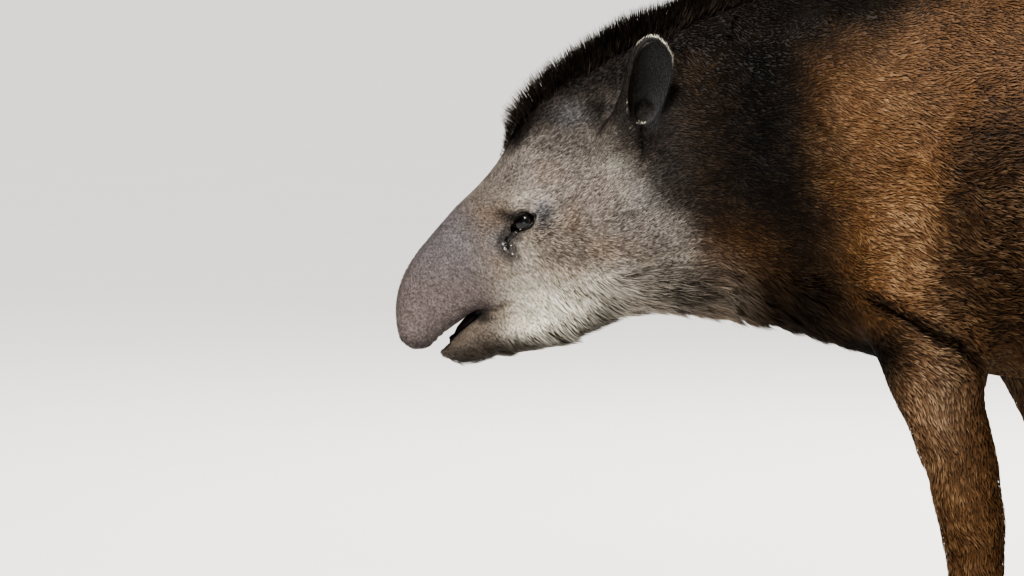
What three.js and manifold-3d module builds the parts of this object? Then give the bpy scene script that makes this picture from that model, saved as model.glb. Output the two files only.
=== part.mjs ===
// An adult lowland tapir at life size, standing with its head lowered, as a still display model.
// Millimetres, +Z up. The head points to -X, the animal's left side to -Y, and the feet stand on Z = 0.
import * as THREE from "three";
import { LoftGeometry } from "three/addons/geometries/LoftGeometry.js";
import { mergeVertices } from "three/addons/utils/BufferGeometryUtils.js";
import Module from "manifold-3d";

const wasm = await Module();
wasm.setup();

// Driving dimensions
const gap = 0.3; // between touching parts
const farForefootBack = 205; // how far the right forefoot stands behind the left one
const farHindfootForward = 140; // how far the right hindfoot stands ahead of the left one
const eyeRadius = 20;
const earLength = 128;
const maneHeight = 25; // longest mane hair
const reach = 3000; // larger than the animal, for cutting tools

// The side outline from the snout's tip to the buttocks. Each section is a plane across the body, from a
// point on the upper outline to one on the lower outline. half is its half width, wide the height of its
// widest point from the bottom, as a share. peak and keel shape the upper and lower half: 1 is an ellipse,
// more is pointed and less is boxy. ridge is the half width of the rounded crest on top.
const body = [
  { name: "tip", top: [-851, 474], bottom: [-824, 468], half: 27, wide: 0.5, ridge: 27, peak: 1, keel: 0.8 },
  { name: "nostrils", top: [-858, 492], bottom: [-811, 478], half: 33, wide: 0.5, ridge: 30, peak: 1, keel: 0.7 },
  { name: "trunk", top: [-862, 519], bottom: [-797, 492], half: 36, wide: 0.48, ridge: 30, peak: 1, keel: 0.6 },
  { name: "trunkMid", top: [-859, 548], bottom: [-783, 503], half: 38, wide: 0.47, ridge: 28, peak: 1, keel: 0.5 },
  { name: "trunkRoot", top: [-848, 577], bottom: [-767, 514], half: 41, wide: 0.46, ridge: 28, peak: 1, keel: 0.5 },
  { name: "lip", top: [-830, 605], bottom: [-748, 524], half: 45, wide: 0.46, ridge: 28, peak: 1, keel: 0.5 },
  { name: "mouth", top: [-807, 632], bottom: [-727, 523], half: 51, wide: 0.48, ridge: 30, peak: 1, keel: 0.6 },
  { name: "cheek", top: [-777, 666], bottom: [-697, 506], half: 62, wide: 0.5, ridge: 32, peak: 1, keel: 0.6 },
  { name: "eye", top: [-745, 697], bottom: [-658, 492], half: 77, wide: 0.52, ridge: 36, peak: 1, keel: 0.6 },
  { name: "brow", top: [-715, 736], bottom: [-618, 494], half: 87, wide: 0.48, ridge: 34, peak: 1.1, keel: 0.65 },
  { name: "forehead", top: [-697, 775], bottom: [-578, 506], half: 91, wide: 0.42, ridge: 26, peak: 1.3, keel: 0.75 },
  { name: "crest", top: [-668, 814], bottom: [-539, 517], half: 95, wide: 0.38, ridge: 22, peak: 1.45, keel: 0.85 },
  { name: "poll", top: [-621, 856], bottom: [-500, 520], half: 102, wide: 0.38, ridge: 21, peak: 1.5, keel: 0.95 },
  { name: "nape", top: [-560, 895], bottom: [-454, 514], half: 109, wide: 0.4, ridge: 21, peak: 1.5, keel: 1 },
  { name: "neck", top: [-487, 929], bottom: [-399, 504], half: 121, wide: 0.4, ridge: 23, peak: 1.45, keel: 1 },
  { name: "neckRoot", top: [-402, 958], bottom: [-335, 494], half: 142, wide: 0.41, ridge: 30, peak: 1.35, keel: 1 },
  { name: "breast", top: [-301, 984], bottom: [-262, 472], half: 171, wide: 0.43, ridge: 45, peak: 1.25, keel: 0.95 },
  { name: "withers", top: [-186, 1000], bottom: [-173, 449], half: 198, wide: 0.45, ridge: 70, peak: 1.15, keel: 0.9 },
  { name: "shoulder", top: [-45, 998], bottom: [-45, 434], half: 216, wide: 0.46, ridge: 110, peak: 1.05, keel: 0.85 },
  { name: "ribs", top: [131, 996], bottom: [131, 419], half: 232, wide: 0.46, ridge: 150, peak: 1, keel: 0.85 },
  { name: "belly", top: [320, 1001], bottom: [320, 416], half: 238, wide: 0.46, ridge: 160, peak: 1, keel: 0.85 },
  { name: "loin", top: [495, 1011], bottom: [489, 436], half: 228, wide: 0.5, ridge: 150, peak: 1, keel: 0.9 },
  { name: "croup", top: [644, 1008], bottom: [610, 472], half: 208, wide: 0.54, ridge: 130, peak: 1, keel: 0.95 },
  { name: "rump", top: [752, 972], bottom: [702, 515], half: 182, wide: 0.57, ridge: 110, peak: 1, keel: 1 },
  { name: "buttock", top: [832, 890], bottom: [782, 578], half: 134, wide: 0.58, ridge: 90, peak: 1, keel: 1 },
  { name: "tailRoot", top: [868, 800], bottom: [836, 652], half: 78, wide: 0.55, ridge: 60, peak: 1, keel: 1 },
];

// The lower jaw, from the front of the lip to deep inside the cheek
const jaw = [
  { name: "lipFront", top: [-802, 468], bottom: [-799, 462], half: 17, wide: 0.5, ridge: 17, peak: 0.7, keel: 1 },
  { name: "chinFront", top: [-789, 476], bottom: [-784, 456], half: 25, wide: 0.55, ridge: 20, peak: 0.6, keel: 1 },
  { name: "chin", top: [-775, 490], bottom: [-767, 452], half: 30, wide: 0.6, ridge: 24, peak: 0.6, keel: 1 },
  { name: "chinBack", top: [-762, 503], bottom: [-747, 456], half: 34, wide: 0.6, ridge: 26, peak: 0.6, keel: 0.9 },
  { name: "jawFront", top: [-747, 516], bottom: [-724, 462], half: 39, wide: 0.6, ridge: 28, peak: 0.7, keel: 0.85 },
  { name: "jawBar", top: [-729, 530], bottom: [-697, 465], half: 46, wide: 0.55, ridge: 30, peak: 0.8, keel: 0.75 },
  { name: "jawMid", top: [-703, 540], bottom: [-662, 469], half: 55, wide: 0.5, ridge: 32, peak: 0.9, keel: 0.75 },
  { name: "jawBack", top: [-668, 550], bottom: [-621, 482], half: 62, wide: 0.45, ridge: 36, peak: 0.9, keel: 0.75 },
  { name: "jawAngle", top: [-632, 557], bottom: [-585, 499], half: 66, wide: 0.45, ridge: 40, peak: 0.9, keel: 0.8 },
  { name: "jawEnd", top: [-598, 557], bottom: [-558, 520], half: 62, wide: 0.5, ridge: 40, peak: 0.9, keel: 0.9 },
];

// Gums and tongue that close the open mouth from side to side, set in from both lips
const mouthFill = [
  { name: "front", top: [-789, 486], bottom: [-784, 470], half: 15, wide: 0.5, ridge: 10, peak: 0.8, keel: 0.8 },
  { name: "middle", top: [-770, 506], bottom: [-762, 480], half: 22, wide: 0.5, ridge: 14, peak: 0.8, keel: 0.8 },
  { name: "back", top: [-742, 536], bottom: [-735, 490], half: 30, wide: 0.5, ridge: 20, peak: 0.8, keel: 0.8 },
  { name: "root", top: [-705, 560], bottom: [-700, 500], half: 40, wide: 0.5, ridge: 30, peak: 0.8, keel: 0.8 },
];

// Each leg from inside the trunk down to the sole, from a point on its front to one on its back, with out
// the distance of its middle from the midline
const foreleg = [
  { name: "scapula", top: [-255, 770], bottom: [-88, 770], out: 112, half: 40, wide: 0.5, ridge: 30, peak: 1, keel: 1 },
  { name: "shoulder", top: [-276, 660], bottom: [-58, 660], out: 138, half: 60, wide: 0.5, ridge: 46, peak: 1, keel: 1 },
  { name: "upperArm", top: [-270, 575], bottom: [-48, 575], out: 143, half: 62, wide: 0.5, ridge: 46, peak: 1, keel: 1 },
  { name: "elbow", top: [-246, 500], bottom: [-52, 500], out: 141, half: 61, wide: 0.5, ridge: 44, peak: 1, keel: 1 },
  { name: "forearm", top: [-217, 432], bottom: [-70, 432], out: 137, half: 56, wide: 0.5, ridge: 42, peak: 1, keel: 1 },
  { name: "forearmMid", top: [-190, 388], bottom: [-62, 388], out: 134, half: 51, wide: 0.5, ridge: 38, peak: 1, keel: 1 },
  { name: "forearmLow", top: [-163, 335], bottom: [-54, 335], out: 132, half: 45, wide: 0.5, ridge: 35, peak: 1, keel: 1 },
  { name: "aboveWrist", top: [-145, 285], bottom: [-49, 285], out: 131, half: 41, wide: 0.5, ridge: 34, peak: 1, keel: 1 },
  { name: "wrist", top: [-137, 238], bottom: [-42, 238], out: 130, half: 43, wide: 0.5, ridge: 35, peak: 1, keel: 1 },
  { name: "belowWrist", top: [-125, 190], bottom: [-46, 190], out: 130, half: 37, wide: 0.5, ridge: 30, peak: 1, keel: 1 },
  { name: "cannon", top: [-121, 135], bottom: [-47, 135], out: 130, half: 37, wide: 0.5, ridge: 31, peak: 1, keel: 1 },
  { name: "fetlock", top: [-130, 85], bottom: [-38, 85], out: 130, half: 44, wide: 0.5, ridge: 38, peak: 1, keel: 1 },
  { name: "pastern", top: [-143, 45], bottom: [-28, 45], out: 130, half: 51, wide: 0.5, ridge: 46, peak: 1, keel: 1 },
  { name: "sole", top: [-142, -14], bottom: [-32, -14], out: 130, half: 48, wide: 0.5, ridge: 44, peak: 1, keel: 1 },
];
const hindleg = [
  { name: "hip", top: [590, 880], bottom: [770, 880], out: 88, half: 52, wide: 0.5, ridge: 40, peak: 1, keel: 1 },
  { name: "thighTop", top: [555, 770], bottom: [815, 770], out: 106, half: 86, wide: 0.5, ridge: 60, peak: 1, keel: 1 },
  { name: "thigh", top: [536, 670], bottom: [832, 670], out: 114, half: 91, wide: 0.5, ridge: 64, peak: 1, keel: 1 },
  { name: "thighLow", top: [530, 585], bottom: [826, 585], out: 122, half: 83, wide: 0.5, ridge: 60, peak: 1, keel: 1 },
  { name: "stifle", top: [548, 515], bottom: [804, 515], out: 127, half: 74, wide: 0.5, ridge: 54, peak: 1, keel: 1 },
  { name: "shin", top: [585, 450], bottom: [784, 450], out: 130, half: 63, wide: 0.5, ridge: 48, peak: 1, keel: 1 },
  { name: "shinMid", top: [632, 385], bottom: [777, 385], out: 131, half: 53, wide: 0.5, ridge: 40, peak: 1, keel: 1 },
  { name: "shinLow", top: [673, 330], bottom: [790, 330], out: 131, half: 45, wide: 0.5, ridge: 35, peak: 1, keel: 1 },
  { name: "hock", top: [695, 280], bottom: [808, 280], out: 130, half: 43, wide: 0.5, ridge: 34, peak: 1, keel: 1 },
  { name: "belowHock", top: [702, 230], bottom: [797, 230], out: 130, half: 38, wide: 0.5, ridge: 30, peak: 1, keel: 1 },
  { name: "cannon", top: [696, 170], bottom: [776, 170], out: 130, half: 36, wide: 0.5, ridge: 29, peak: 1, keel: 1 },
  { name: "fetlock", top: [682, 105], bottom: [768, 105], out: 130, half: 40, wide: 0.5, ridge: 34, peak: 1, keel: 1 },
  { name: "pastern", top: [662, 50], bottom: [770, 50], out: 130, half: 48, wide: 0.5, ridge: 44, peak: 1, keel: 1 },
  { name: "sole", top: [664, -14], bottom: [768, -14], out: 130, half: 46, wide: 0.5, ridge: 42, peak: 1, keel: 1 },
];

// Toes: bearing from straight ahead in degrees, positive to the outside, and size in millimetres.
// The forefoot has three large toes and a small outer one set higher. The hindfoot has three.
const foreToes = [
  { name: "inner", bearing: -42, reach: 50, length: 78, width: 46, height: 58, lift: 0 },
  { name: "middle", bearing: 0, reach: 60, length: 84, width: 50, height: 62, lift: 0 },
  { name: "outer", bearing: 42, reach: 50, length: 78, width: 46, height: 58, lift: 0 },
  { name: "side", bearing: 96, reach: 42, length: 54, width: 34, height: 44, lift: 13 },
];
const hindToes = [
  { name: "inner", bearing: -38, reach: 50, length: 74, width: 43, height: 56, lift: 0 },
  { name: "middle", bearing: 0, reach: 62, length: 84, width: 50, height: 62, lift: 0 },
  { name: "outer", bearing: 38, reach: 50, length: 74, width: 43, height: 56, lift: 0 },
];

// Materials
function finish(color, roughness) {
  return new THREE.MeshStandardMaterial({ color, roughness, metalness: 0 });
}
const bodyCoat = finish(0x5c4030, 0.85);
const darkCoat = finish(0x2e2622, 0.9);
const headCoat = finish(0x7a6c62, 0.85);
const paleCoat = finish(0xa89a88, 0.85);
const legCoat = finish(0x3c2e26, 0.85);
const horn = finish(0x2b2724, 0.5);
const eyeGloss = finish(0x120d0a, 0.12);

const v3 = (x, y, z) => new THREE.Vector3(x, y, z);

// A seeded random number from 0 to 1
function seededRandom(seed) {
  let state = seed;
  return () => {
    state = (state * 1664525 + 1013904223) % 4294967296;
    return state / 4294967296;
  };
}

// Smooth curves through the stations of a form. at(u) gives the section at station number u.
function formOf(stations) {
  const last = stations.length - 1;
  const curve = (pick) => new THREE.CatmullRomCurve3(stations.map(pick), false, "catmullrom", 0.5);
  const tops = curve((s) => v3(s.top[0], s.out ?? 0, s.top[1]));
  const bottoms = curve((s) => v3(s.bottom[0], s.out ?? 0, s.bottom[1]));
  const widths = curve((s) => v3(s.half, s.wide, s.ridge));
  const powers = curve((s) => v3(s.peak, s.keel, 0));
  return {
    last,
    index: (name) => stations.findIndex((s) => s.name === name),
    at: (u) => ({
      top: tops.getPoint(u / last),
      bottom: bottoms.getPoint(u / last),
      width: widths.getPoint(u / last),
      power: powers.getPoint(u / last),
    }),
  };
}

// A point on a section. turn is 0 on the right side, a quarter turn on top and a half turn on the left.
function sectionPoint({ top, bottom, width, power }, turn) {
  const c = Math.cos(turn);
  const s = Math.sin(turn);
  const widest = width.y;
  const height = s > 0 ? widest + (1 - widest) * s : widest + widest * s;
  const flank = s > 0 ? Math.abs(c) ** power.x : Math.abs(c) ** power.y;
  const across = s > 0 ? (width.x - width.z) * flank + width.z * Math.abs(c) : width.x * flank;
  return bottom.clone().lerp(top, height).add(v3(0, Math.sign(c) * across, 0));
}

// The ring of points round a form at station u, shrunk towards its centre by scale
function ringAt(form, u, around, { scale = 1, shape = (p) => p } = {}) {
  const section = form.at(u);
  const centre = section.bottom.clone().lerp(section.top, 0.5);
  const turns = Array.from({ length: around }, (_, i) => ((i + 0.5) / around) * 2 * Math.PI);
  return turns.map((turn) => {
    const point = centre.clone().lerp(sectionPoint(section, turn), scale);
    return shape(point, u, centre);
  });
}

// Rings from station `from` to `to`. A blunt end is rounded over that many stations.
function rings(form, { from = 0, to = form.last, count, around, blunt = [0, 0], shape }) {
  const roundSteps = 4;
  const smallest = 0.12;
  const made = [];
  const rounded = (step) => 1 - Math.cos((step / roundSteps) * (Math.PI / 2));
  const sized = (share) => Math.max(smallest, Math.sqrt(1 - (1 - share) ** 2));
  if (blunt[0]) {
    for (let i = 0; i < roundSteps; i++) made.push([from + blunt[0] * rounded(i), sized(rounded(i))]);
  }
  const start = from + blunt[0];
  const end = to - blunt[1];
  for (let i = 0; i <= count; i++) made.push([start + ((end - start) * i) / count, 1]);
  if (blunt[1]) {
    for (let i = roundSteps - 1; i >= 0; i--) made.push([to - blunt[1] * rounded(i), sized(rounded(i))]);
  }
  return made.map(([u, scale]) => ringAt(form, u, around, { scale, shape }));
}

// A closed solid from a list of rings, whichever way the points run round them
function loft(sections) {
  const middle = Math.floor((sections.length - 1) / 2);
  const centreOf = (ring) => ring.reduce((sum, p) => sum.add(p), v3(0, 0, 0)).divideScalar(ring.length);
  const centre = centreOf(sections[middle]);
  const ahead = centreOf(sections[middle + 1]).sub(centre);
  const normal = v3(0, 0, 0);
  sections[middle].forEach((p, i, ring) => {
    const next = ring[(i + 1) % ring.length];
    normal.add(p.clone().sub(centre).cross(next.clone().sub(centre)));
  });
  const ordered = normal.dot(ahead) < 0 ? sections.map((ring) => ring.slice().reverse()) : sections;
  return solid(new LoftGeometry(ordered, { capStart: true, capEnd: true }));
}

// A three.js geometry as a manifold solid
function solid(geometry) {
  const bare = new THREE.BufferGeometry().setAttribute("position", geometry.getAttribute("position"));
  bare.setIndex(geometry.index);
  const merged = mergeVertices(bare, 1e-3);
  const made = new wasm.Mesh({
    numProp: 3,
    vertProperties: merged.attributes.position.array,
    triVerts: new Uint32Array(merged.index.array),
  });
  return new wasm.Manifold(made);
}

// The largest closed surface of a solid, as a named mesh
function node(name, made, material) {
  const whole = made.decompose().sort((a, b) => b.volume() - a.volume())[0];
  const { vertProperties, triVerts, numProp } = whole.getMesh();
  const position = new Float32Array((vertProperties.length / numProp) * 3);
  for (let i = 0; i < position.length / 3; i++) {
    position.set(vertProperties.subarray(i * numProp, i * numProp + 3), i * 3);
  }
  const geometry = new THREE.BufferGeometry();
  geometry.setAttribute("position", new THREE.BufferAttribute(position, 3));
  geometry.setIndex(new THREE.BufferAttribute(new Uint32Array(triVerts), 1));
  geometry.computeVertexNormals();
  const mesh = new THREE.Mesh(geometry, material);
  mesh.name = name;
  return mesh;
}

const union = (solids) => solids.reduce((sum, one) => sum.add(one));

// A cutting block whose flat face passes through `point` and which lies on the side `towards` points to
function halfSpace(point, towards) {
  const direction = towards.clone().normalize();
  const block = new THREE.BoxGeometry(reach, reach, reach).translate(0, 0, reach / 2);
  block.applyQuaternion(new THREE.Quaternion().setFromUnitVectors(v3(0, 0, 1), direction));
  return solid(block.translate(point.x, point.y, point.z));
}

// A block right across the body, from an outline of [x, z] points seen from the side
function prism(outline, lift = 0) {
  const shape = new THREE.Shape(outline.map(([x, z]) => new THREE.Vector2(x, z + lift)));
  const block = new THREE.ExtrudeGeometry(shape, { depth: reach, bevelEnabled: false, steps: 1 });
  return solid(block.translate(0, 0, -reach / 2).rotateX(Math.PI / 2));
}

// An ellipsoid with radii r, turned by angles in degrees about Z, at a point
function ellipsoid(centre, r, { turnZ = 0, turnX = 0, detail = [16, 10] } = {}) {
  const ball = new THREE.SphereGeometry(1, ...detail).scale(...r);
  ball.rotateX(THREE.MathUtils.degToRad(turnX)).rotateZ(THREE.MathUtils.degToRad(turnZ));
  return solid(ball.translate(centre.x, centre.y, centre.z));
}

const floorBlock = halfSpace(v3(0, 0, 0), v3(0, 0, -1));

// Soft lumps and hollows on the head: a place on the left side, how far they reach and how high they rise
const headLumps = [
  { at: [-680, -80, 674], reach: 34, lift: 8 }, // brow ridge over the eye
  { at: [-668, -80, 600], reach: 42, lift: 5 }, // cheekbone
  { at: [-730, -60, 628], reach: 34, lift: -7 }, // hollow in front of the eye
  { at: [-640, -85, 725], reach: 44, lift: -7 }, // temple
  { at: [-600, -95, 585], reach: 60, lift: 7 }, // jaw muscle
  { at: [-778, -44, 522], reach: 24, lift: 4 }, // upper lip
  { at: [-842, -26, 490], reach: 18, lift: 4 }, // rim of the nostril
  { at: [-833, -40, 545], reach: 26, lift: -3 }, // side of the trunk
];
function shapeHead(point, _u, centre) {
  const outwards = point.clone().sub(centre).normalize();
  const moved = point.clone();
  for (const { at, reach: spread, lift } of headLumps) {
    const away = v3(at[0], Math.sign(point.y) * -at[1], at[2]).distanceTo(point);
    moved.addScaledVector(outwards, lift * Math.exp(-((away / spread) ** 2)));
  }
  return moved;
}

// Seams between head, neck and torso, and at the trunk's root, each on one section of the body
const hide = formOf(body);
const seamSlack = 0.004; // in stations, which is the gap at the shorter outline
const snoutSeam = hide.index("trunkRoot") + 0.55;
const neckSeam = hide.index("nape") + 0.55;
const torsoSeam = hide.index("neckRoot") + 0.55;

// The plane of a section, as a point and its normal towards the tail
function seamPlane(u) {
  const { top, bottom } = hide.at(u);
  const normal = top.clone().sub(bottom).cross(v3(0, 1, 0)).normalize();
  return { point: top, normal: normal.x < 0 ? normal.negate() : normal };
}

// Mane: flat tapered locks along the crest that bend backwards, out of a dense core less than half as high
const mane = {
  from: hide.index("brow") + 0.25,
  to: hide.index("withers") - 0.1,
  spacing: 17.5,
  rows: [
    { side: 0, tall: 1 },
    { side: -15, tall: 0.82 },
    { side: 15, tall: 0.82 },
  ], // distance from the midline, and height as a share
  width: 18,
  thickness: 5.5,
  sunk: 6,
  core: 0.42,
};
const maneShare = (u) => (u - mane.from) / (mane.to - mane.from);

// Height of the mane above the skin: short on the forehead, longest at the nape, short again at the withers
function maneLength(u) {
  const share = THREE.MathUtils.clamp(maneShare(u), 0, 1);
  const rise = THREE.MathUtils.smoothstep(share, -0.06, 0.16);
  const fall = 1 - 0.65 * THREE.MathUtils.smoothstep(share, 0.6, 1);
  return maneHeight * rise * fall;
}

function maneCore() {
  const steps = 14;
  const profile = [[-22, -14], [-15, 0.35], [-7, 0.9], [7, 0.9], [15, 0.35], [22, -14]];
  const crestRings = Array.from({ length: steps + 1 }, (_, i) => {
    const u = THREE.MathUtils.lerp(mane.from, mane.to, i / steps);
    const { top, bottom } = hide.at(u);
    const up = top.clone().sub(bottom).normalize();
    const height = maneLength(u) * mane.core;
    return profile.map(([y, rise]) => top.clone().addScaledVector(up, rise < 0 ? rise : rise * height).setY(y));
  });
  return loft(crestRings);
}

// The angle from the top of the crest at which the section at u is `side` millimetres off the midline
function turnAt(u, side) {
  let [low, high] = [0, 1];
  for (let i = 0; i < 12; i++) {
    const middle = (low + high) / 2;
    if (sectionPoint(hide.at(u), Math.PI / 2 - middle).y < Math.abs(side)) low = middle;
    else high = middle;
  }
  return -Math.sign(side) * low;
}

// One lock, rooted at station u and at an angle from the top of the crest
function maneLock(u, turn, height, random) {
  const at = (along, around) => sectionPoint(hide.at(along), Math.PI / 2 + around);
  const root = at(u, turn);
  const back = at(u + 0.05, turn).sub(root).normalize();
  const across = at(u, turn - 0.05).sub(root).normalize();
  const out = back.clone().cross(across).normalize();
  const leanShare = THREE.MathUtils.smoothstep(maneShare(u), 0.05, 0.5);
  const lean = THREE.MathUtils.degToRad(8 + 22 * leanShare + 12 * random());
  const bend = THREE.MathUtils.degToRad(24 + 16 * random());
  const sway = THREE.MathUtils.degToRad(16 * (random() - 0.5));
  const length = (height * (0.9 + 0.2 * random())) / Math.cos(lean + bend * 0.4);
  const steps = [
    { along: -mane.sunk / length, wide: 1, thick: 1 },
    { along: 0.52, wide: 0.86, thick: 0.8 },
    { along: 1, wide: 0.1, thick: 0.2 },
  ];
  return loft(
    steps.map(({ along, wide, thick }) => {
      const angle = lean + (bend * Math.max(0, along)) / 2;
      const ahead = out.clone().multiplyScalar(Math.cos(angle)).addScaledVector(back, Math.sin(angle));
      ahead.addScaledVector(across, Math.sin(sway)).normalize();
      const centre = root.clone().addScaledVector(ahead, along * length);
      const blade = ahead.clone().cross(across).normalize().multiplyScalar((mane.width / 2) * wide);
      const side = across.clone().multiplyScalar((mane.thickness / 2) * thick);
      return [[1, 1], [1, -1], [-1, -1], [-1, 1]].map(([a, b]) =>
        centre.clone().addScaledVector(blade, a).addScaledVector(side, b),
      );
    }),
  );
}

function maneLocks() {
  const random = seededRandom(11);
  const locks = [];
  mane.rows.forEach(({ side, tall }, row) => {
    let u = mane.from + 0.05 + row * 0.1;
    while (u < mane.to) {
      const pace = hide.at(u + 0.05).top.distanceTo(hide.at(u).top) / 0.05;
      const height = Math.max(8, maneLength(u) * tall);
      locks.push(maneLock(u, turnAt(u, side + 4 * (random() - 0.5)), height, random));
      u += (mane.spacing * (0.88 + 0.24 * random())) / pace;
    }
  });
  return locks;
}

// Nodes of the trunk
function headSolid(grow) {
  const shape = (point, u, centre) => {
    const moved = shapeHead(point, u, centre);
    return moved.addScaledVector(point.clone().sub(centre).normalize(), grow);
  };
  const to = neckSeam - (grow ? 0 : seamSlack);
  return loft(rings(hide, { from: 0, to, count: 30, around: 30, blunt: [0.6, 0], shape }));
}

// Almond-shaped opening of the lids, the eyeball and the lids themselves
const eyePlace = v3(-685, -61, 646);
const lidOpening = { length: 31, height: 19, tilt: 42 };
function eyeCut(side) {
  const { length, height } = lidOpening;
  const almond = new THREE.Shape();
  almond.moveTo(-length / 2, 0);
  almond.quadraticCurveTo(0, height * 0.95, length / 2, 0);
  almond.quadraticCurveTo(0, -height * 1.05, -length / 2, 0);
  const depth = 60;
  const tool = new THREE.ExtrudeGeometry(almond, { depth, bevelEnabled: false, curveSegments: 6, steps: 1 });
  tool.rotateZ(THREE.MathUtils.degToRad(lidOpening.tilt)).rotateX(Math.PI / 2);
  const made = solid(tool.translate(eyePlace.x, eyePlace.y, eyePlace.z));
  return side < 0 ? made : made.mirror([0, 1, 0]);
}
const eyeCentre = (side) => v3(eyePlace.x, eyePlace.y * -side, eyePlace.z);
const lids = (side) => ellipsoid(eyeCentre(side), [eyeRadius + 6, eyeRadius + 4, eyeRadius + 3.5]);
const eyeball = (side, grow) => ellipsoid(eyeCentre(side), Array(3).fill(eyeRadius + grow), { detail: [14, 9] });

// Ear: an upright oval cup on a thick root that is wider towards the front
const earSizes = [
  { height: -52, wide: 34, deep: 24, ahead: 24, push: -16 },
  { height: -30, wide: 40, deep: 29, ahead: 23, push: -5 },
  { height: -4, wide: 38, deep: 27, ahead: 18 },
  { height: 22, wide: 34, deep: 22, ahead: 8 },
  { height: 48, wide: 33, deep: 18, ahead: 1 },
  { height: 76, wide: 34, deep: 15, ahead: -2 },
  { height: 100, wide: 31, deep: 12, ahead: -2 },
  { height: 117, wide: 22, deep: 8, ahead: -1 },
  { height: earLength, wide: 9, deep: 4, ahead: 0 },
];
const earPlace = v3(-530, -88, 776);
const earTilt = new THREE.Euler(
  THREE.MathUtils.degToRad(19), THREE.MathUtils.degToRad(6), THREE.MathUtils.degToRad(20), "YXZ",
);
const earCupSizes = [
  { height: 8, wide: 9, deep: 6, ahead: 2, push: 19 },
  { height: 26, wide: 23, deep: 15, ahead: 3, push: 15 },
  { height: 48, wide: 28, deep: 15, ahead: 1, push: 10 },
  { height: 76, wide: 29.5, deep: 12.5, ahead: -2, push: 9 },
  { height: 100, wide: 26.5, deep: 10, ahead: -2, push: 8 },
  { height: 116, wide: 17, deep: 6.5, ahead: -1, push: 7 },
  { height: 123, wide: 7, deep: 4, ahead: 0, push: 7 },
];
const earRings = (sizes) =>
  sizes.map(({ height, wide, deep, ahead, push = 0 }) => {
    const around = 16;
    return Array.from({ length: around }, (_, i) => {
      const turn = ((i + 0.5) / around) * 2 * Math.PI;
      const point = v3(Math.cos(turn) * wide - ahead, Math.sin(turn) * deep - push, height);
      return point.applyEuler(earTilt).add(earPlace);
    });
  });
const earOuter = loft(earRings(earSizes));
const earCup = loft(earRings(earCupSizes));
const mirrored = (made) => made.mirror([0, 1, 0]);

const nostril = (side) => ellipsoid(v3(-852, 13 * -side, 476), [10, 7.5, 13], { turnX: 12 * side, detail: [12, 8] });

// The lower jaw is everything below the mouth line and a line from its corner to the jaw's angle
const jawRegion = [[-810, 466], [-803, 477], [-738, 525], [-703, 524], [-584, 502], [-574, 470], [-574, 380], [-815, 380]];

const plainHead = union([
  headSolid(0),
  loft(rings(formOf(jaw), { count: 12, around: 20, blunt: [0.4, 0] })),
  loft(rings(formOf(mouthFill), { count: 5, around: 12 })),
  lids(-1),
  lids(1),
]);
const earShell = earOuter.subtract(earCup).subtract(headSolid(gap * 1.6));
const head = [-1, 1].reduce(
  (made, side) => made.subtract(eyeCut(side)).subtract(eyeball(side, gap)).subtract(nostril(side)),
  plainHead,
);
const snoutPlane = seamPlane(snoutSeam);
const behindSnout = halfSpace(snoutPlane.point.clone().addScaledVector(snoutPlane.normal, gap), snoutPlane.normal);
const aheadOfSnout = halfSpace(snoutPlane.point, snoutPlane.normal.clone().negate());
const aboveJaw = head.subtract(prism(jawRegion, gap * 1.3));

function slice(from, to, count, around, blunt) {
  return loft(rings(hide, { from, to, count, around, blunt }));
}

const maneWhole = union([maneCore(), ...maneLocks()]);
const neckPlane = seamPlane(neckSeam);
const torsoPlane = seamPlane(torsoSeam);
const behind = ({ point, normal }) => halfSpace(point.clone().addScaledVector(normal, gap / 2), normal);
const aheadOf = ({ point, normal }) =>
  halfSpace(point.clone().addScaledVector(normal, -gap / 2), normal.clone().negate());

// Legs, each built on the right side and mirrored for the left
function legForm(stations, shift) {
  const moved = stations.map((s) => {
    const x = shift(s.top[1]);
    return { ...s, top: [s.top[0] + x, s.top[1]], bottom: [s.bottom[0] + x, s.bottom[1]] };
  });
  return formOf(moved);
}

// How far a leg stands from its usual place at height z, from a list of [height, shift], highest first
const shiftAlong = (points) => (z) => {
  const after = points.findIndex(([level]) => z >= level);
  if (after <= 0) return points[after === 0 ? 0 : points.length - 1][1];
  const [high, highShift] = points[after - 1];
  const [low, lowShift] = points[after];
  return THREE.MathUtils.mapLinear(z, high, low, highShift, lowShift);
};

function toe({ bearing, reach: out, length, width, height, lift }, ankle) {
  const angle = THREE.MathUtils.degToRad(bearing);
  const ahead = v3(-Math.cos(angle), Math.sin(angle), 0);
  const centre = ankle.clone().addScaledVector(ahead, out).setZ(lift + height * 0.22);
  const radii = [length / 2, width / 2, height / 2];
  const coronet = centre.clone().addScaledVector(ahead, length * 0.06).setZ(lift + height * 0.5);
  const slope = ahead.clone().multiplyScalar(0.86).setZ(0.51).normalize();
  const grown = (by) => ellipsoid(centre, radii.map((r) => r + by), { turnZ: -bearing, detail: [10, 7] });
  return {
    flesh: grown(-1.5),
    clear: grown(gap).intersect(halfSpace(coronet.clone().addScaledVector(slope, -gap), slope)),
    hoof: grown(0).intersect(halfSpace(coronet, slope)).subtract(floorBlock),
  };
}

// The plane that parts a leg from the shoulder or thigh above it, rising to the outside
function legPlane(fore, lift) {
  return { point: v3(0, 60, (fore ? 428 : 478) + lift), normal: v3(0, fore ? -0.5 : -0.42, 1).normalize() };
}

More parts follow.
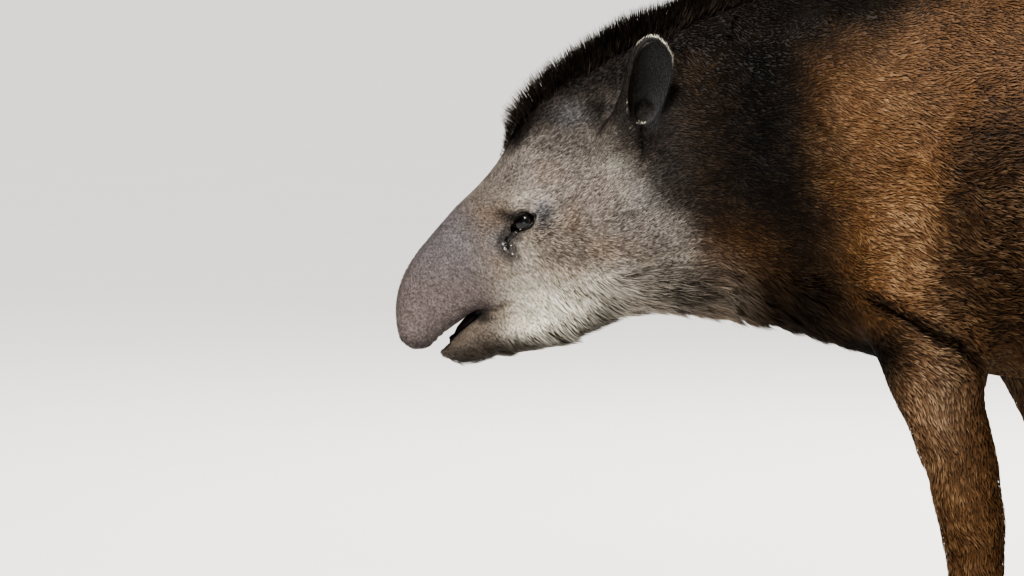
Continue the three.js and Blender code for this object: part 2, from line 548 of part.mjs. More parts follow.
function legSolids({ side, fore, shift }) {
  const stations = fore ? foreleg : hindleg;
  const form = legForm(stations, shift);
  const outwards = (grow) => (p, u, centre) => p.clone().addScaledVector(p.clone().sub(centre).normalize(), grow);
  const column = (grow) => loft(rings(form, { count: 12, around: 12, shape: outwards(grow) }));
  const sole = stations[stations.length - 1];
  const ankle = v3((sole.top[0] + sole.bottom[0]) / 2 + shift(0), sole.out, 0);
  const parts = (fore ? foreToes : hindToes).map((t) => ({ name: t.name, ...toe(t, ankle) }));
  const seam = legPlane(fore, 0);
  const foot = union([column(0), ...parts.map((p) => p.flesh)]).subtract(floorBlock);
  const whole = foot.intersect(halfSpace(seam.point, seam.normal.clone().negate()));
  const seamAbove = legPlane(fore, gap * 1.3);
  const place = (made) => (side > 0 ? made : mirrored(made));
  return {
    upper: place(column(0).intersect(halfSpace(seamAbove.point, seamAbove.normal))),
    clear: place(column(gap * 1.3).intersect(halfSpace(seamAbove.point, seamAbove.normal.clone().negate()))),
    flesh: place(parts.reduce((made, part) => made.subtract(part.clear), whole)),
    hooves: parts.map((part) => ({ name: part.name, made: place(part.hoof) })),
  };
}

const legs = [
  { name: "left", side: -1, fore: true, shift: () => 0 },
  { name: "right", side: 1, fore: true, shift: shiftAlong([[770, 90], [430, 168], [0, farForefootBack]]) },
  { name: "left", side: -1, fore: false, shift: () => 0 },
  { name: "right", side: 1, fore: false, shift: shiftAlong([[880, 0], [600, -50], [0, -farHindfootForward]]) },
].map((leg) => ({ ...leg, ...legSolids(leg) }));

// Tail: a short stub pressed to the rump
const tailForm = formOf([
  { name: "root", top: [842, 836], bottom: [822, 788], half: 26, wide: 0.5, ridge: 20, peak: 1, keel: 1 },
  { name: "upper", top: [876, 818], bottom: [850, 782], half: 23, wide: 0.5, ridge: 18, peak: 1, keel: 1 },
  { name: "middle", top: [896, 786], bottom: [866, 764], half: 19, wide: 0.5, ridge: 15, peak: 1, keel: 1 },
  { name: "lower", top: [904, 752], bottom: [877, 744], half: 15, wide: 0.5, ridge: 12, peak: 1, keel: 1 },
  { name: "tip", top: [901, 724], bottom: [883, 726], half: 10, wide: 0.5, ridge: 8, peak: 1, keel: 1 },
]);
const tail = loft(rings(tailForm, { count: 6, around: 10, blunt: [0, 0.6] }));
const tailCut = { point: v3(858, 0, 810), normal: v3(0.92, 0, 0.25).normalize() };

const trunk = slice(torsoSeam + seamSlack, hide.last, 18, 24, [0, 0.9]);
const tailRoot = tail.intersect(aheadOf(tailCut));
const maneOnTorso = maneWhole.intersect(behind(torsoPlane));
const torsoWhole = union([trunk, ...legs.map((leg) => leg.upper), tailRoot, maneOnTorso]);
const torso = legs
  .reduce((made, leg) => made.subtract(leg.clear), torsoWhole)
  .subtract(halfSpace(tailCut.point, tailCut.normal).intersect(tail.hull()));

const neckBare = slice(neckSeam + seamSlack, torsoSeam - seamSlack, 6, 24);
const neck = neckBare.add(maneWhole.intersect(behind(neckPlane)).intersect(aheadOf(torsoPlane)));

const tapir = new THREE.Group();
tapir.name = "lowland_tapir";
tapir.add(node("snout", aboveJaw.intersect(aheadOfSnout), headCoat));
tapir.add(node("head", aboveJaw.intersect(behindSnout).add(maneWhole.intersect(aheadOf(neckPlane))), headCoat));
tapir.add(node("lower_jaw", head.intersect(prism(jawRegion)), paleCoat));
tapir.add(node("ear_left", earShell, darkCoat));
tapir.add(node("ear_right", mirrored(earShell), darkCoat));
tapir.add(node("eye_left", eyeball(-1, 0), eyeGloss));
tapir.add(node("eye_right", eyeball(1, 0), eyeGloss));
tapir.add(node("neck", neck, darkCoat));
tapir.add(node("torso", torso, bodyCoat));
tapir.add(node("tail", tail.intersect(behind(tailCut)), bodyCoat));
for (const { name, fore, flesh, hooves } of legs) {
  tapir.add(node(`${fore ? "foreleg" : "hindleg"}_${name}`, flesh, legCoat));
  hooves.forEach((hoof) => tapir.add(node(`${fore ? "forehoof" : "hindhoof"}_${name}_${hoof.name}`, hoof.made, horn)));
}

// The origin is under the middle of the animal
const box = new THREE.Box3().setFromObject(tapir);
tapir.position.set(-(box.min.x + box.max.x) / 2, -(box.min.y + box.max.y) / 2, 0);

export default tapir;
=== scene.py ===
import math
import bmesh
import bpy
import numpy as np
from mathutils import Matrix, Vector
from mathutils.bvhtree import BVHTree


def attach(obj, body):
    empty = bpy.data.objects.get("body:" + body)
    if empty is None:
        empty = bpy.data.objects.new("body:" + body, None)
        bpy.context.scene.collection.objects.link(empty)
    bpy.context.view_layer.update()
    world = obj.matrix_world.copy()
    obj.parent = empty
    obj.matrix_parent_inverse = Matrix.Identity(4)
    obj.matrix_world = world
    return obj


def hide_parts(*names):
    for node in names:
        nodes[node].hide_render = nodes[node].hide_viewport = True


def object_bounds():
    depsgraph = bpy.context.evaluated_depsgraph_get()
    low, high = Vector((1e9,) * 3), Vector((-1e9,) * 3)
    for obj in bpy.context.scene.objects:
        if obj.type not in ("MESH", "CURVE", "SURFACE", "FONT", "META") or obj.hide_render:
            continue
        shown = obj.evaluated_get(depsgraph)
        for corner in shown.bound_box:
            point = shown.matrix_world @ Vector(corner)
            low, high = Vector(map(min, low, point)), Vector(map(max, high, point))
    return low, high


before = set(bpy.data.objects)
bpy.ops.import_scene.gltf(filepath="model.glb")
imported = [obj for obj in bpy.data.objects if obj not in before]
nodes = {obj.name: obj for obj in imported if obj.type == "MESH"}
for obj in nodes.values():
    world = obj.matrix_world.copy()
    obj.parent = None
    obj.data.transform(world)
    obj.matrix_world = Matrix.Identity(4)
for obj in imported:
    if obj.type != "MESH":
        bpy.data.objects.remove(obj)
cadLow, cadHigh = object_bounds()
scene = bpy.context.scene

# helpers for numbers and points; places are in metres, x from snout to tail, y across and z up
def rise(low, high, value):  # 0 up to low, 1 from high on, smooth between; high may be the smaller one
    t = np.clip((value - low) / (high - low), 0, 1)
    return t * t * (3 - 2 * t)

def unit(vectors):
    return vectors / (np.linalg.norm(vectors, axis=-1, keepdims=True) + 1e-12)

def columns(*values):  # side by side as the columns of one table, plain numbers repeated down it
    return np.stack(np.broadcast_arrays(*values), 1)

def folded(points):  # both sides of the animal laid on its right side
    return points * [1, 0, 1] + np.abs(points) * [0, 1, 0]

def blob(points, centre, reach):  # 1 at the centre, fading out over the reach along each axis
    return np.exp(-((((points - centre) / reach) ** 2).sum(1)))

def strongest(points, spots):  # the highest of many blobs, each a strength, a centre and a reach
    best = 0
    for strength, centre, reach in spots:
        best = np.maximum(best, strength * blob(points, centre, reach))
    return best

def lineGap(points, line):  # distance to a line of (x, z) points in the side view, and the share along it
    at, best, share = points[:, [0, 2]], np.full(len(points), 9.0), np.zeros(len(points))
    line = np.array(line)
    lengths = np.linalg.norm(np.diff(line, axis=0), axis=1)
    done = 0
    for a, b, length in zip(line, line[1:], lengths):
        t = np.clip(((at - a) @ (b - a)) / length ** 2, 0, 1)
        gap = np.linalg.norm(at - a - t[:, None] * (b - a), axis=1)
        nearer = gap < best
        share = np.where(nearer, (done + t * length) / lengths.sum(), share)
        best = np.where(nearer, gap, best)
        done += length
    return best, share

def softNoise(points, size, seed):  # smooth random values from 0 to 1, in lumps of about the given size
    grid = np.random.default_rng(seed).random((32, 32, 32))
    at = points / size
    low = np.floor(at).astype(int)
    part = at - low
    part = part * part * (3 - 2 * part)
    total = 0
    for corner in np.ndindex(2, 2, 2):
        weight = np.prod(np.where(corner, part, 1 - part), axis=1)
        i, j, k = ((low + corner) % 32).T
        total = total + grid[i, j, k] * weight
    return total

def softSway(points, size, seeds):  # smooth random directions
    return np.stack([softNoise(points, size, seed) - 0.5 for seed in seeds], 1)

# helpers for meshes
def pointsOf(mesh):
    flat = np.empty(len(mesh.vertices) * 3)
    mesh.vertices.foreach_get("co", flat)
    return flat.reshape(-1, 3)

def normalsOf(mesh):
    flat = np.empty(len(mesh.vertices) * 3)
    mesh.vertex_normals.foreach_get("vector", flat)
    return flat.reshape(-1, 3)

def edgesOf(mesh):
    flat = np.empty(len(mesh.edges) * 2, dtype=np.int32)
    mesh.edges.foreach_get("vertices", flat)
    return flat.reshape(-1, 2)

def setPoints(mesh, points):
    mesh.vertices.foreach_set("co", points.ravel())
    mesh.update()

def opened(mesh):
    bm = bmesh.new()
    bm.from_mesh(mesh)
    return bm

def closed(bm, mesh):
    bm.to_mesh(mesh)
    bm.free()
    return mesh

def relax(points, edges, passes, weight, keepSize=True):
    a, b = edges.T
    size = len(points)
    count = (np.bincount(a, minlength=size) + np.bincount(b, minlength=size))[:, None]
    steps = (0.5, -0.52) if keepSize else (0.5,)
    for _ in range(passes):
        for step in steps:
            total = np.stack([np.bincount(a, points[b, k], size) + np.bincount(b, points[a, k], size)
                              for k in range(3)], 1)
            points = points + (total / count - points) * weight[:, None] * step
    return points

def addObject(name, mesh):
    obj = bpy.data.objects.new(name, mesh)
    scene.collection.objects.link(obj)
    return obj

def evaluated(obj):
    graph = bpy.context.evaluated_depsgraph_get()
    mesh = bpy.data.meshes.new_from_object(obj.evaluated_get(graph))
    bpy.data.objects.remove(obj)
    return mesh

# camera: the photograph's framing, level with the withers and looking a little down
camera = {"elevation": 4, "angle": 9.876, "distance": 8.0,
          "reference": (-0.70735, 0, 0.643), "aside": 0.01688, "above": 0.08964}

def placeCamera():
    tilt = math.radians(camera["elevation"])
    ahead = Vector((0, math.cos(tilt), -math.sin(tilt)))
    right = Vector((1, 0, 0))
    up = right.cross(ahead)
    data = bpy.data.cameras.new("camera")
    data.sensor_fit = "HORIZONTAL"
    data.angle = math.radians(camera["angle"])
    data.clip_start, data.clip_end = 0.1, 300
    obj = bpy.data.objects.new("camera", data)
    scene.collection.objects.link(obj)
    spot = Vector(camera["reference"]) - ahead * camera["distance"]
    spot = spot - right * camera["aside"] - up * camera["above"]
    turn = Matrix((right, up, -ahead)).transposed()
    obj.matrix_world = Matrix.Translation(spot) @ turn.to_4x4()
    scene.camera = obj

placeCamera()
print("camera placed")

# skin: the solids of flesh made one, smoothed and sculpted
skin = {
    "bodyVoxel": 0.0058, "headVoxel": 0.0030, "footVoxel": 0.0034,
    "headCut": -0.43, "footCut": 0.112, "overlap": 0.006, "grow": 0.0006,
    "smoothing": 45, "creaseSmoothing": 90, "legTopSmoothing": 70, "breastSideSmoothing": 90,
    "crestSmoothing": 30, "earRootSmoothing": 160,
    "depth": 0.0050, "faceDepth": 0.0012, "legDepth": 0.0026, "earDepth": 0.0004, "bellyExtra": 0.0062,
    "roofHeight": 0.07, "roofHalf": 0.046,
}
legs = ["foreleg_left", "foreleg_right", "hindleg_left", "hindleg_right"]
headParts = ["snout", "head", "lower_jaw", "ear_left", "ear_right"]
flesh = headParts + ["neck", "torso", "tail"] + legs

# the bare hide's upper outline from brow to shoulder, under the mane, and how broad the crest is there
crest = [(-0.766, 0.697), (-0.736, 0.736), (-0.718, 0.775), (-0.689, 0.814), (-0.642, 0.856), (-0.581, 0.895),
         (-0.508, 0.929), (-0.423, 0.958), (-0.322, 0.984), (-0.207, 1.000), (-0.066, 0.998)]
crestRound = [0.095, 0.064, 0.047, 0.045, 0.0476, 0.057, 0.0857, 0.128, 0.19, 0.30]

def welded(name, apart=2e-6):  # a CAD node's own mesh with its corners joined
    bm = opened(nodes[name].data)
    bmesh.ops.remove_doubles(bm, verts=bm.verts, dist=apart)
    return closed(bm, bpy.data.meshes.new(name + "_welded"))

def crestDrop(y, breadth):
    return y ** 2 / breadth - 0.0055 * rise(0.026, 0.036, abs(y)) - 0.0004

def maneRoof():  # everything above the bare crest, as a long roof-shaped block
    line = np.array(crest[1:])
    fine = np.linspace(0, len(line) - 1, 40)
    spots = np.stack([np.interp(fine, np.arange(len(line)), line[:, k]) for k in (0, 1)], 1)
    along = unit(np.gradient(spots, axis=0))
    out = np.stack([-along[:, 1], along[:, 0]], 1)
    across = np.linspace(-skin["roofHalf"], skin["roofHalf"], 15)
    breadths = np.interp(fine, np.arange(len(line)), crestRound)
    height = skin["roofHeight"]
    bm = bmesh.new()
    rings = []
    for (x, z), (outX, outZ), breadth in zip(spots, out, breadths):
        drops = [crestDrop(y, breadth) for y in across]
        low = [(x - outX * drop, y, z - outZ * drop) for y, drop in zip(across, drops)]
        high = [(x + outX * height, y, z + outZ * height) for y in across[::-1]]
        rings.append([bm.verts.new(p) for p in low + high])
    for ring, after in zip(rings, rings[1:]):
        for k in range(len(ring)):
            bm.faces.new((ring[k - 1], ring[k], after[k], after[k - 1]))
    bm.faces.new(rings[0])
    bm.faces.new(rings[-1][::-1])
    bmesh.ops.recalc_face_normals(bm, faces=bm.faces)
    bmesh.ops.triangulate(bm, faces=bm.faces)
    return closed(bm, bpy.data.meshes.new("roof"))

def locksCutOff():
    roof = addObject("roof", maneRoof())
    bare = {}
    for name in ("head", "neck", "torso"):
        obj = addObject("bare", welded(name))
        step = obj.modifiers.new("cut", "BOOLEAN")
        step.operation, step.solver, step.object = "DIFFERENCE", "MANIFOLD", roof
        bare[name] = evaluated(obj)
    bpy.data.objects.remove(roof)
    return bare

bareSolids = locksCutOff()

def remeshed(names, voxel, cuts):
    bm = bmesh.new()
    for name in names:
        bm.from_mesh(bareSolids[name] if name in bareSolids else welded(name))
    bm.normal_update()
    for v in bm.verts:
        v.co += v.normal * skin["grow"]
    obj = addObject("raw", closed(bm, bpy.data.meshes.new("raw")))
    step = obj.modifiers.new("voxels", "REMESH")
    step.mode, step.voxel_size, step.adaptivity = "VOXEL", voxel, 0
    mesh = evaluated(obj)
    bm = opened(mesh)
    for spot, outwards in cuts:
        everything = bm.verts[:] + bm.edges[:] + bm.faces[:]
        bmesh.ops.bisect_plane(bm, geom=everything, dist=1e-7, plane_co=spot, plane_no=outwards,
                               clear_outer=True)
        bmesh.ops.holes_fill(bm, edges=[e for e in bm.edges if e.is_boundary])
    return closed(bm, mesh)

def largestOnly(bm):
    seen, best = set(), []
    for start in bm.verts:
        if start in seen:
            continue
        group, stack = [], [start]
        seen.add(start)
        while stack:
            v = stack.pop()
            group.append(v)
            for e in v.link_edges:
                other = e.other_vert(v)
                if other not in seen:
                    seen.add(other)
                    stack.append(other)
        if len(group) > len(best):
            best = group
    keep = set(best)
    bmesh.ops.delete(bm, geom=[v for v in bm.verts if v not in keep], context="VERTS")

def joinedSkin():
    x, z, lap = skin["headCut"], skin["footCut"], skin["overlap"]
    body = remeshed(["head", "neck", "torso", "tail"] + legs, skin["bodyVoxel"],
                    [((x - lap, 0, 0), (-1, 0, 0)), ((0, 0, z - lap), (0, 0, -1))])
    head = remeshed(headParts + ["neck", "eye_left", "eye_right"], skin["headVoxel"],
                    [((x, 0, 0), (1, 0, 0))])
    feet = remeshed(legs, skin["footVoxel"], [((0, 0, z), (0, 0, 1))])
    obj = addObject("skin", body)
    for other in (head, feet):
        tool = addObject("tool", other)
        step = obj.modifiers.new("join", "BOOLEAN")
        step.operation, step.solver, step.object = "UNION", "MANIFOLD", tool
        fresh = bpy.data.meshes.new_from_object(obj.evaluated_get(bpy.context.evaluated_depsgraph_get()))
        bpy.data.objects.remove(tool)
        obj.modifiers.clear()
        obj.data = fresh
    bm = opened(obj.data)
    largestOnly(bm)
    bmesh.ops.dissolve_degenerate(bm, dist=1e-5, edges=bm.edges)
    closed(bm, obj.data)
    return obj

# the parts of the animal, each from 0 to 1
def inHead(p):  # in front of the slanting plane between head and neck
    return rise(0.02, -0.02, p[:, 0] + 0.541 - 0.2346 * (0.914 - p[:, 2]))

def inLeg(p):
    side = rise(0.04, 0.06, np.abs(p[:, 1]))
    return rise(0.50, 0.40, p[:, 2]) * side * (p[:, 0] > -0.3)

def treeOfEars():
    corners, faces = [], []
    for name in ("ear_left", "ear_right"):
        mesh = nodes[name].data
        faces += [[i + len(corners) for i in f.vertices] for f in mesh.polygons]
        corners += [tuple(v.co) for v in mesh.vertices]
    return BVHTree.FromPolygons(corners, faces)

earTree = treeOfEars()

def inEar(p):
    x, y, z = p.T
    near = np.flatnonzero((x > -0.64) & (x < -0.49) & (np.abs(y) > 0.06) & (z > 0.735))
    found = np.zeros(len(p))
    for i in near:
        hit = earTree.find_nearest(Vector(p[i]), 0.02)
        if hit[0] is not None:
            found[i] = 1 - min(hit[3] / 0.006, 1)
    return found * rise(0.752, 0.775, z)

def aboveCrest(p):  # distance above the bare crest, the share along it and its outward direction
    share = lineGap(p, crest)[1]
    line = np.array(crest)
    lengths = np.r_[0, np.cumsum(np.linalg.norm(np.diff(line, axis=0), axis=1))]
    lengths /= lengths[-1]
    def spotAt(where):
        return np.stack([np.interp(where, lengths, line[:, k]) for k in (0, 1)], 1)
    spot = spotAt(share)
    along = unit(spotAt(share + 0.04) - spotAt(share - 0.04))
    outX, outZ = -along[:, 1], along[:, 0]
    high = (p[:, 0] - spot[:, 0]) * outX + (p[:, 2] - spot[:, 1]) * outZ
    return high, share, columns(outX, 0, outZ)

def smoothSkin(mesh):
    p, edges = pointsOf(mesh), edgesOf(mesh)
    f = folded(p)
    ear = inEar(p)
    mouth = blob(f, (-0.80, 0.02, 0.49), (0.055, 0.05, 0.035))
    nose = blob(f, (-0.872, 0.014, 0.478), (0.022, 0.02, 0.02))
    foot = rise(0.11, 0.05, p[:, 2])
    crestZone = rise(0.080, 0.055, np.abs(p[:, 1])) * (aboveCrest(p)[0] > -0.06)
    crestZone = crestZone * rise(-0.79, -0.75, p[:, 0]) * rise(-0.02, -0.1, p[:, 0])
    earRoot = blob(f, (-0.575, 0.10, 0.752), (0.055, 0.05, 0.034)) * rise(0.805, 0.785, p[:, 2])
    fine = np.clip(ear * rise(0.775, 0.80, p[:, 2]) * 0.93 + mouth * 0.8 + nose * 0.9, 0, 0.97)
    p = relax(p, edges, skin["smoothing"], (1 - fine) * (1 - 0.75 * foot))
    # the line between cheek and jaw behind the corner of the mouth is filled
    x, z = p[:, 0], p[:, 2]
    crease = rise(-0.762, -0.742, x) * rise(-0.53, -0.57, x) * rise(0.46, 0.475, z) * rise(0.57, 0.55, z)
    seam = np.exp(-(((x - skin["headCut"]) / 0.025) ** 2)) * (z > 0.4)
    p = relax(p, edges, skin["creaseSmoothing"], np.clip(crease + 0.4 * seam, 0, 1), keepSize=False)
    x, y, z = p.T
    legTop = rise(0.33, 0.39, z) * rise(0.60, 0.54, z) * rise(-0.36, -0.30, x) * rise(0.80, 0.74, x)
    p = relax(p, edges, skin["legTopSmoothing"], legTop * rise(0.02, 0.05, np.abs(y)), keepSize=False)
    breastSide = blob(p, (-0.262, -0.13, 0.500), (0.045, 0.16, 0.055))
    p = relax(p, edges, skin["breastSideSmoothing"], breastSide, keepSize=False)
    p = relax(p, edges, skin["crestSmoothing"], crestZone, keepSize=False)
    p = relax(p, edges, skin["earRootSmoothing"], np.clip(earRoot * 2.2, 0, 1), keepSize=False)
    setPoints(mesh, p)

def pushIn(mesh):  # the skin goes in by the depth of the coat
    p, n = pointsOf(mesh), normalsOf(mesh)
    x, z = p[:, 0], p[:, 2]
    depth = skin["depth"] + (skin["faceDepth"] - skin["depth"]) * inHead(p)
    depth = depth + (skin["legDepth"] - depth) * inLeg(p) * rise(0.45, 0.2, z)
    under = rise(-0.25, -0.75, n[:, 2]) * rise(-0.735, -0.66, x) * rise(-0.22, -0.34, x) * rise(0.62, 0.56, z)
    depth = depth + skin["bellyExtra"] * under
    depth = depth + (skin["earDepth"] - depth) * inEar(p)
    depth = depth * rise(0, 0.02, z)
    p = p - n * depth[:, None]
    p[:, 2] = np.maximum(p[:, 2], 0.0006)
    setPoints(mesh, p)

def refine(mesh, wanted):
    bm = opened(mesh)
    centres = np.array([f.calc_center_median() for f in bm.faces])
    edges = {e for f, use in zip(bm.faces, wanted(centres)) if use for e in f.edges}
    bmesh.ops.subdivide_edges(bm, edges=list(edges), cuts=1, use_grid_fill=True)
    closed(bm, mesh)

# eye: its ball, and the opening of the lids in the eye's own directions
eye = {"centre": (-0.7050, 0.061, 0.6455), "radius": 0.0196, "gaze": (-0.20, 0.97, 0.06), "tilt": 28,
       "half": 0.0158, "upper": 0.0084, "lower": 0.0068, "reach": 0.036}
lids = {"stops": [-0.0009, 0.0005, 0.0022, 0.0042, 0.0066, 0.0100, 0.0140, 0.0180],
        "upper": [-0.0042, 0.0010, 0.0030, 0.0022, -0.0010, 0.0012, 0.0004, 0.0],
        "lower": [-0.0042, 0.0006, 0.0020, 0.0014, 0.0004, 0.0006, 0.0002, 0.0], "corner": 0.0016}

def eyeFrame(side):
    centre = np.array(eye["centre"]) * (1, side, 1)
    gaze = unit(np.array(eye["gaze"]) * (1, side, 1))
    tilt = math.radians(eye["tilt"])
    along = np.array((math.cos(tilt), 0, math.sin(tilt)))
    along = unit(along - gaze * (along @ gaze))
    upwards = np.array((-math.sin(tilt), 0, math.cos(tilt)))
    upwards = unit(upwards - gaze * (upwards @ gaze) - along * (upwards @ along))
    return centre, gaze, along, upwards

def lidGap(p, side):  # distance outside the lid opening, and the place in the eye's own directions
    centre, gaze, along, upwards = eyeFrame(side)
    q = p - centre
    a, b, h = q @ along, q @ upwards, q @ gaze
    bow = np.clip(1 - (a / eye["half"]) ** 2, 0, 1) ** 0.75
    gap = np.maximum(b - eye["upper"] * bow, -eye["lower"] * bow - b)
    beyond = np.hypot(np.abs(a) - eye["half"], b)
    gap = np.where(np.abs(a) < eye["half"], gap, beyond)
    return gap, a, b, h

def sculptEye(p, side):
    gap, a, b, h = lidGap(p, side)
    r = np.hypot(a, b)
    near = (h > 0) & (r < eye["reach"])
    dome = np.sqrt(np.clip(eye["radius"] ** 2 - r ** 2, (0.3 * eye["radius"]) ** 2, None))
    upper, lower = (np.interp(gap, lids["stops"], lids[name]) for name in ("upper", "lower"))
    lift = np.where(b > -0.001, upper, lower)
    # wet tissue fills the two corners
    corner = rise(0.70, 0.95, np.abs(a) / eye["half"])
    lift = lift * (1 - 0.75 * corner * (gap > 0)) + (lids["corner"] - lift) * corner * (gap <= 0)
    base = dome + (h - dome) * rise(0.0022, 0.0100 - 0.0040 * corner, gap)
    move = (base + lift - h) * near * rise(0.0190, 0.0120, gap)
    return p + eyeFrame(side)[1] * move[:, None]

# folds of the head, as (x, z) lines in the side view
tearLine = [(-0.7185, 0.6395), (-0.7265, 0.6305), (-0.7340, 0.6215), (-0.7300, 0.6120), (-0.7265, 0.6060)]
tearSide = [(-0.7150, 0.6345), (-0.7240, 0.6260), (-0.7300, 0.6185), (-0.7275, 0.6120)]
rearCrease = [(-0.6900, 0.6650), (-0.6815, 0.6575), (-0.6795, 0.6450), (-0.6850, 0.6330)]
browCrease = [(-0.7300, 0.6560), (-0.7150, 0.6690), (-0.6990, 0.6720)]
notchFold = [(-0.5500, 0.7790), (-0.5510, 0.7600), (-0.5500, 0.7420), (-0.5480, 0.7220)]
mouthLine = [(-0.812, 0.484), (-0.797, 0.500), (-0.780, 0.514), (-0.766, 0.523), (-0.752, 0.5255)]
mouthCorner = [(-0.752, 0.5255), (-0.741, 0.5290), (-0.730, 0.5360)]
cheekBone = [(-0.715, 0.608), (-0.660, 0.628), (-0.600, 0.668)]
headCreases = [  # line, depth and half of the width
    (tearLine, 0.0022, 0.0020), (tearSide, 0.0011, 0.0012), (rearCrease, 0.0020, 0.0040),
    (browCrease, 0.0008, 0.0026), (notchFold, 0.0034, 0.0036),
]
browForms = [  # height, centre and reach
    (-0.0022, (-0.735, 0.06, 0.655), (0.011, 0.04, 0.008)),
    (0.0022, (-0.706, 0.06, 0.676), (0.016, 0.04, 0.009)),
]
wartSpot = (-0.6480, 0.5800)

def groove(p, n, line, side, depth, half):
    mine = (p[:, 1] * side > 0.02)
    gap, share = lineGap(p, line)
    ends = rise(0, 0.12, share) * rise(1, 0.88, share)
    facing = np.abs(n[:, 1]) > 0.3
    shoulder = depth * 0.35 * np.exp(-((gap - 2.2 * half) / half) ** 2)
    dip = -depth * np.exp(-(gap / half) ** 2) + shoulder
    return p + n * (dip * mine * facing * (0.3 + 0.7 * ends))[:, None]

def cupGap(f):  # 1 at the edge of the small cup at the ear's root
    return np.hypot((f[:, 0] + 0.5480) / 0.0125, (f[:, 2] - 0.7960) / 0.0150)

def faceForms(p, n):  # brow, hollows of the face and the line of the cheek bone
    f = folded(p)
    relief = 0.0040 * blob(f, (-0.698, 0.07, 0.690), (0.028, 0.06, 0.016))
    relief = relief - 0.0042 * blob(f, (-0.745, 0.06, 0.640), (0.018, 0.05, 0.020))
    relief = relief + 0.0035 * rise(0.030, 0.004, lineGap(f, cheekBone)[0]) * (f[:, 1] > 0.04)
    relief = relief - 0.0030 * blob(f, (-0.640, 0.08, 0.590), (0.040, 0.06, 0.014))
    relief = relief - 0.0030 * blob(f, (-0.640, 0.08, 0.745), (0.030, 0.06, 0.024))
    return p + n * (relief * (np.abs(n[:, 1]) > 0.2))[:, None]

def wartAndCup(p, n):  # a dimple with a wart on the cheek, the hollow from the ear's cup, the wet trough
    f = folded(p)
    cheek = np.linalg.norm(f[:, [0, 2]] - wartSpot, axis=1)
    wart = 0.0016 * np.exp(-((cheek / 0.0035) ** 2)) - 0.0016 * np.exp(-((cheek / 0.009) ** 2))
    p = p + n * (wart * (f[:, 1] > 0.05))[:, None]
    outwards = n[:, 1] * np.sign(p[:, 1]) > 0.2
    p = p - n * (0.0065 * rise(1.15, 0.55, cupGap(f)) * (f[:, 1] > 0.06) * outwards)[:, None]
    trough = rise(0.0085, 0.0050, lineGap(p, tearLine)[0]) * (f[:, 1] > 0.04)
    return p + n * ((softNoise(p, 0.0030, 8) - 0.5) * 0.0030 * trough)[:, None]

def trunkRings(p, n):  # rings of skin round the trunk, closest where it bends
    x, z = p[:, 0], p[:, 2]
    trunk = rise(-0.770, -0.850, x - 0.5 * (0.55 - z)) * inHead(p)
    ahead = x * 0.35 - z + 0.9 * x * (z - 0.55)
    wave = np.sin((ahead + 0.004 * softNoise(p, 0.018, 3)) * 2 * np.pi / 0.0105)
    rings = wave * rise(0.25, 0.7, softNoise(p, 0.03, 4)) * 0.00050
    pores = (softNoise(p, 0.0035, 5) - 0.5) * 0.0009
    return p + n * ((rings + pores) * trunk * (n[:, 0] < 0.95))[:, None]

def unevenHide(p, n):  # soft unevenness of muscle and bone under the whole hide
    uneven = (softNoise(p, 0.09, 6) - 0.5) * 0.006 + (softNoise(p, 0.035, 7) - 0.5) * 0.002
    calm = 1 - 0.75 * inHead(p)
    calm = calm * rise(0.02, 0.10, p[:, 2]) * (1 - inEar(p))
    return p + n * (uneven * calm - 0.0012 * calm)[:, None]

def headFolds(mesh):
    p = pointsOf(mesh)
    for side in (-1, 1):
        p = sculptEye(p, side)
    setPoints(mesh, p)
    n = normalsOf(mesh)
    for side in (-1, 1):
        for line, depth, half in headCreases:
            p = groove(p, n, line, side, depth, half)
        for height, centre, reach in browForms:
            mine = np.sign(p[:, 1]) == side
            p = p + n * (height * blob(folded(p), centre, reach) * mine)[:, None]
        p = groove(p, n, mouthCorner, side, 0.0022, 0.0040)
    for sculpted in (faceForms, wartAndCup, trunkRings, unevenHide):
        p = sculpted(p, n)
    setPoints(mesh, p)

# the fold above the forearm, seen from the left, and its like on the right
armFold = {"line": [(-0.2700, 0.5620), (-0.2394, 0.5473), (-0.2064, 0.5288), (-0.1720, 0.5090),
                    (-0.1364, 0.4931), (-0.1131, 0.4698), (-0.0990, 0.4504)],
           "rightShift": 0.175, "dip": 0.0105, "lip": 0.0065}
armFoldRight = [(x + armFold["rightShift"], z) for x, z in armFold["line"]]
bodyGrooves = [  # line, depth and half of the width: before the thigh, and behind the neck
    ([(0.40, 0.47), (0.47, 0.52), (0.52, 0.60), (0.54, 0.68)], 0.007, 0.016),
    ([(-0.33, 0.62), (-0.20, 0.72), (-0.13, 0.84)], 0.005, 0.022),
]

def overhang(p, n, line, side):  # a lip of hide hanging over a sharp fold
    gap, share = lineGap(p, line)
    line = np.array(line)
    above = (p[:, 2] - np.interp(p[:, 0], line[:, 0], line[:, 1])) * 0.86
    near = rise(0.060, 0.035, gap) * rise(0, 0.16, share) * rise(1.0, 0.86, share) * (p[:, 1] * side > 0.05)
    move = armFold["lip"] * np.exp(-(((above - 0.013) / 0.012) ** 2))
    move = move - armFold["dip"] * np.exp(-(((above + 0.002) / 0.0052) ** 2))
    move = move - 0.003 * np.exp(-(((above + 0.018) / 0.012) ** 2))
    return p + n * (move * near)[:, None]

def nearFolds(c):
    left = (lineGap(c, armFold["line"])[0] < 0.020) & (c[:, 1] < -0.05)
    return left | (lineGap(c, armFoldRight)[0] < 0.020) & (c[:, 1] > 0.05)

def bodyFolds(mesh):
    p, n = pointsOf(mesh), normalsOf(mesh)
    p = overhang(p, n, armFold["line"], -1)
    p = overhang(p, n, armFoldRight, 1)
    for side in (-1, 1):
        for line, depth, half in bodyGrooves:
            p = groove(p, n, line, side, depth, half)
    setPoints(mesh, p)

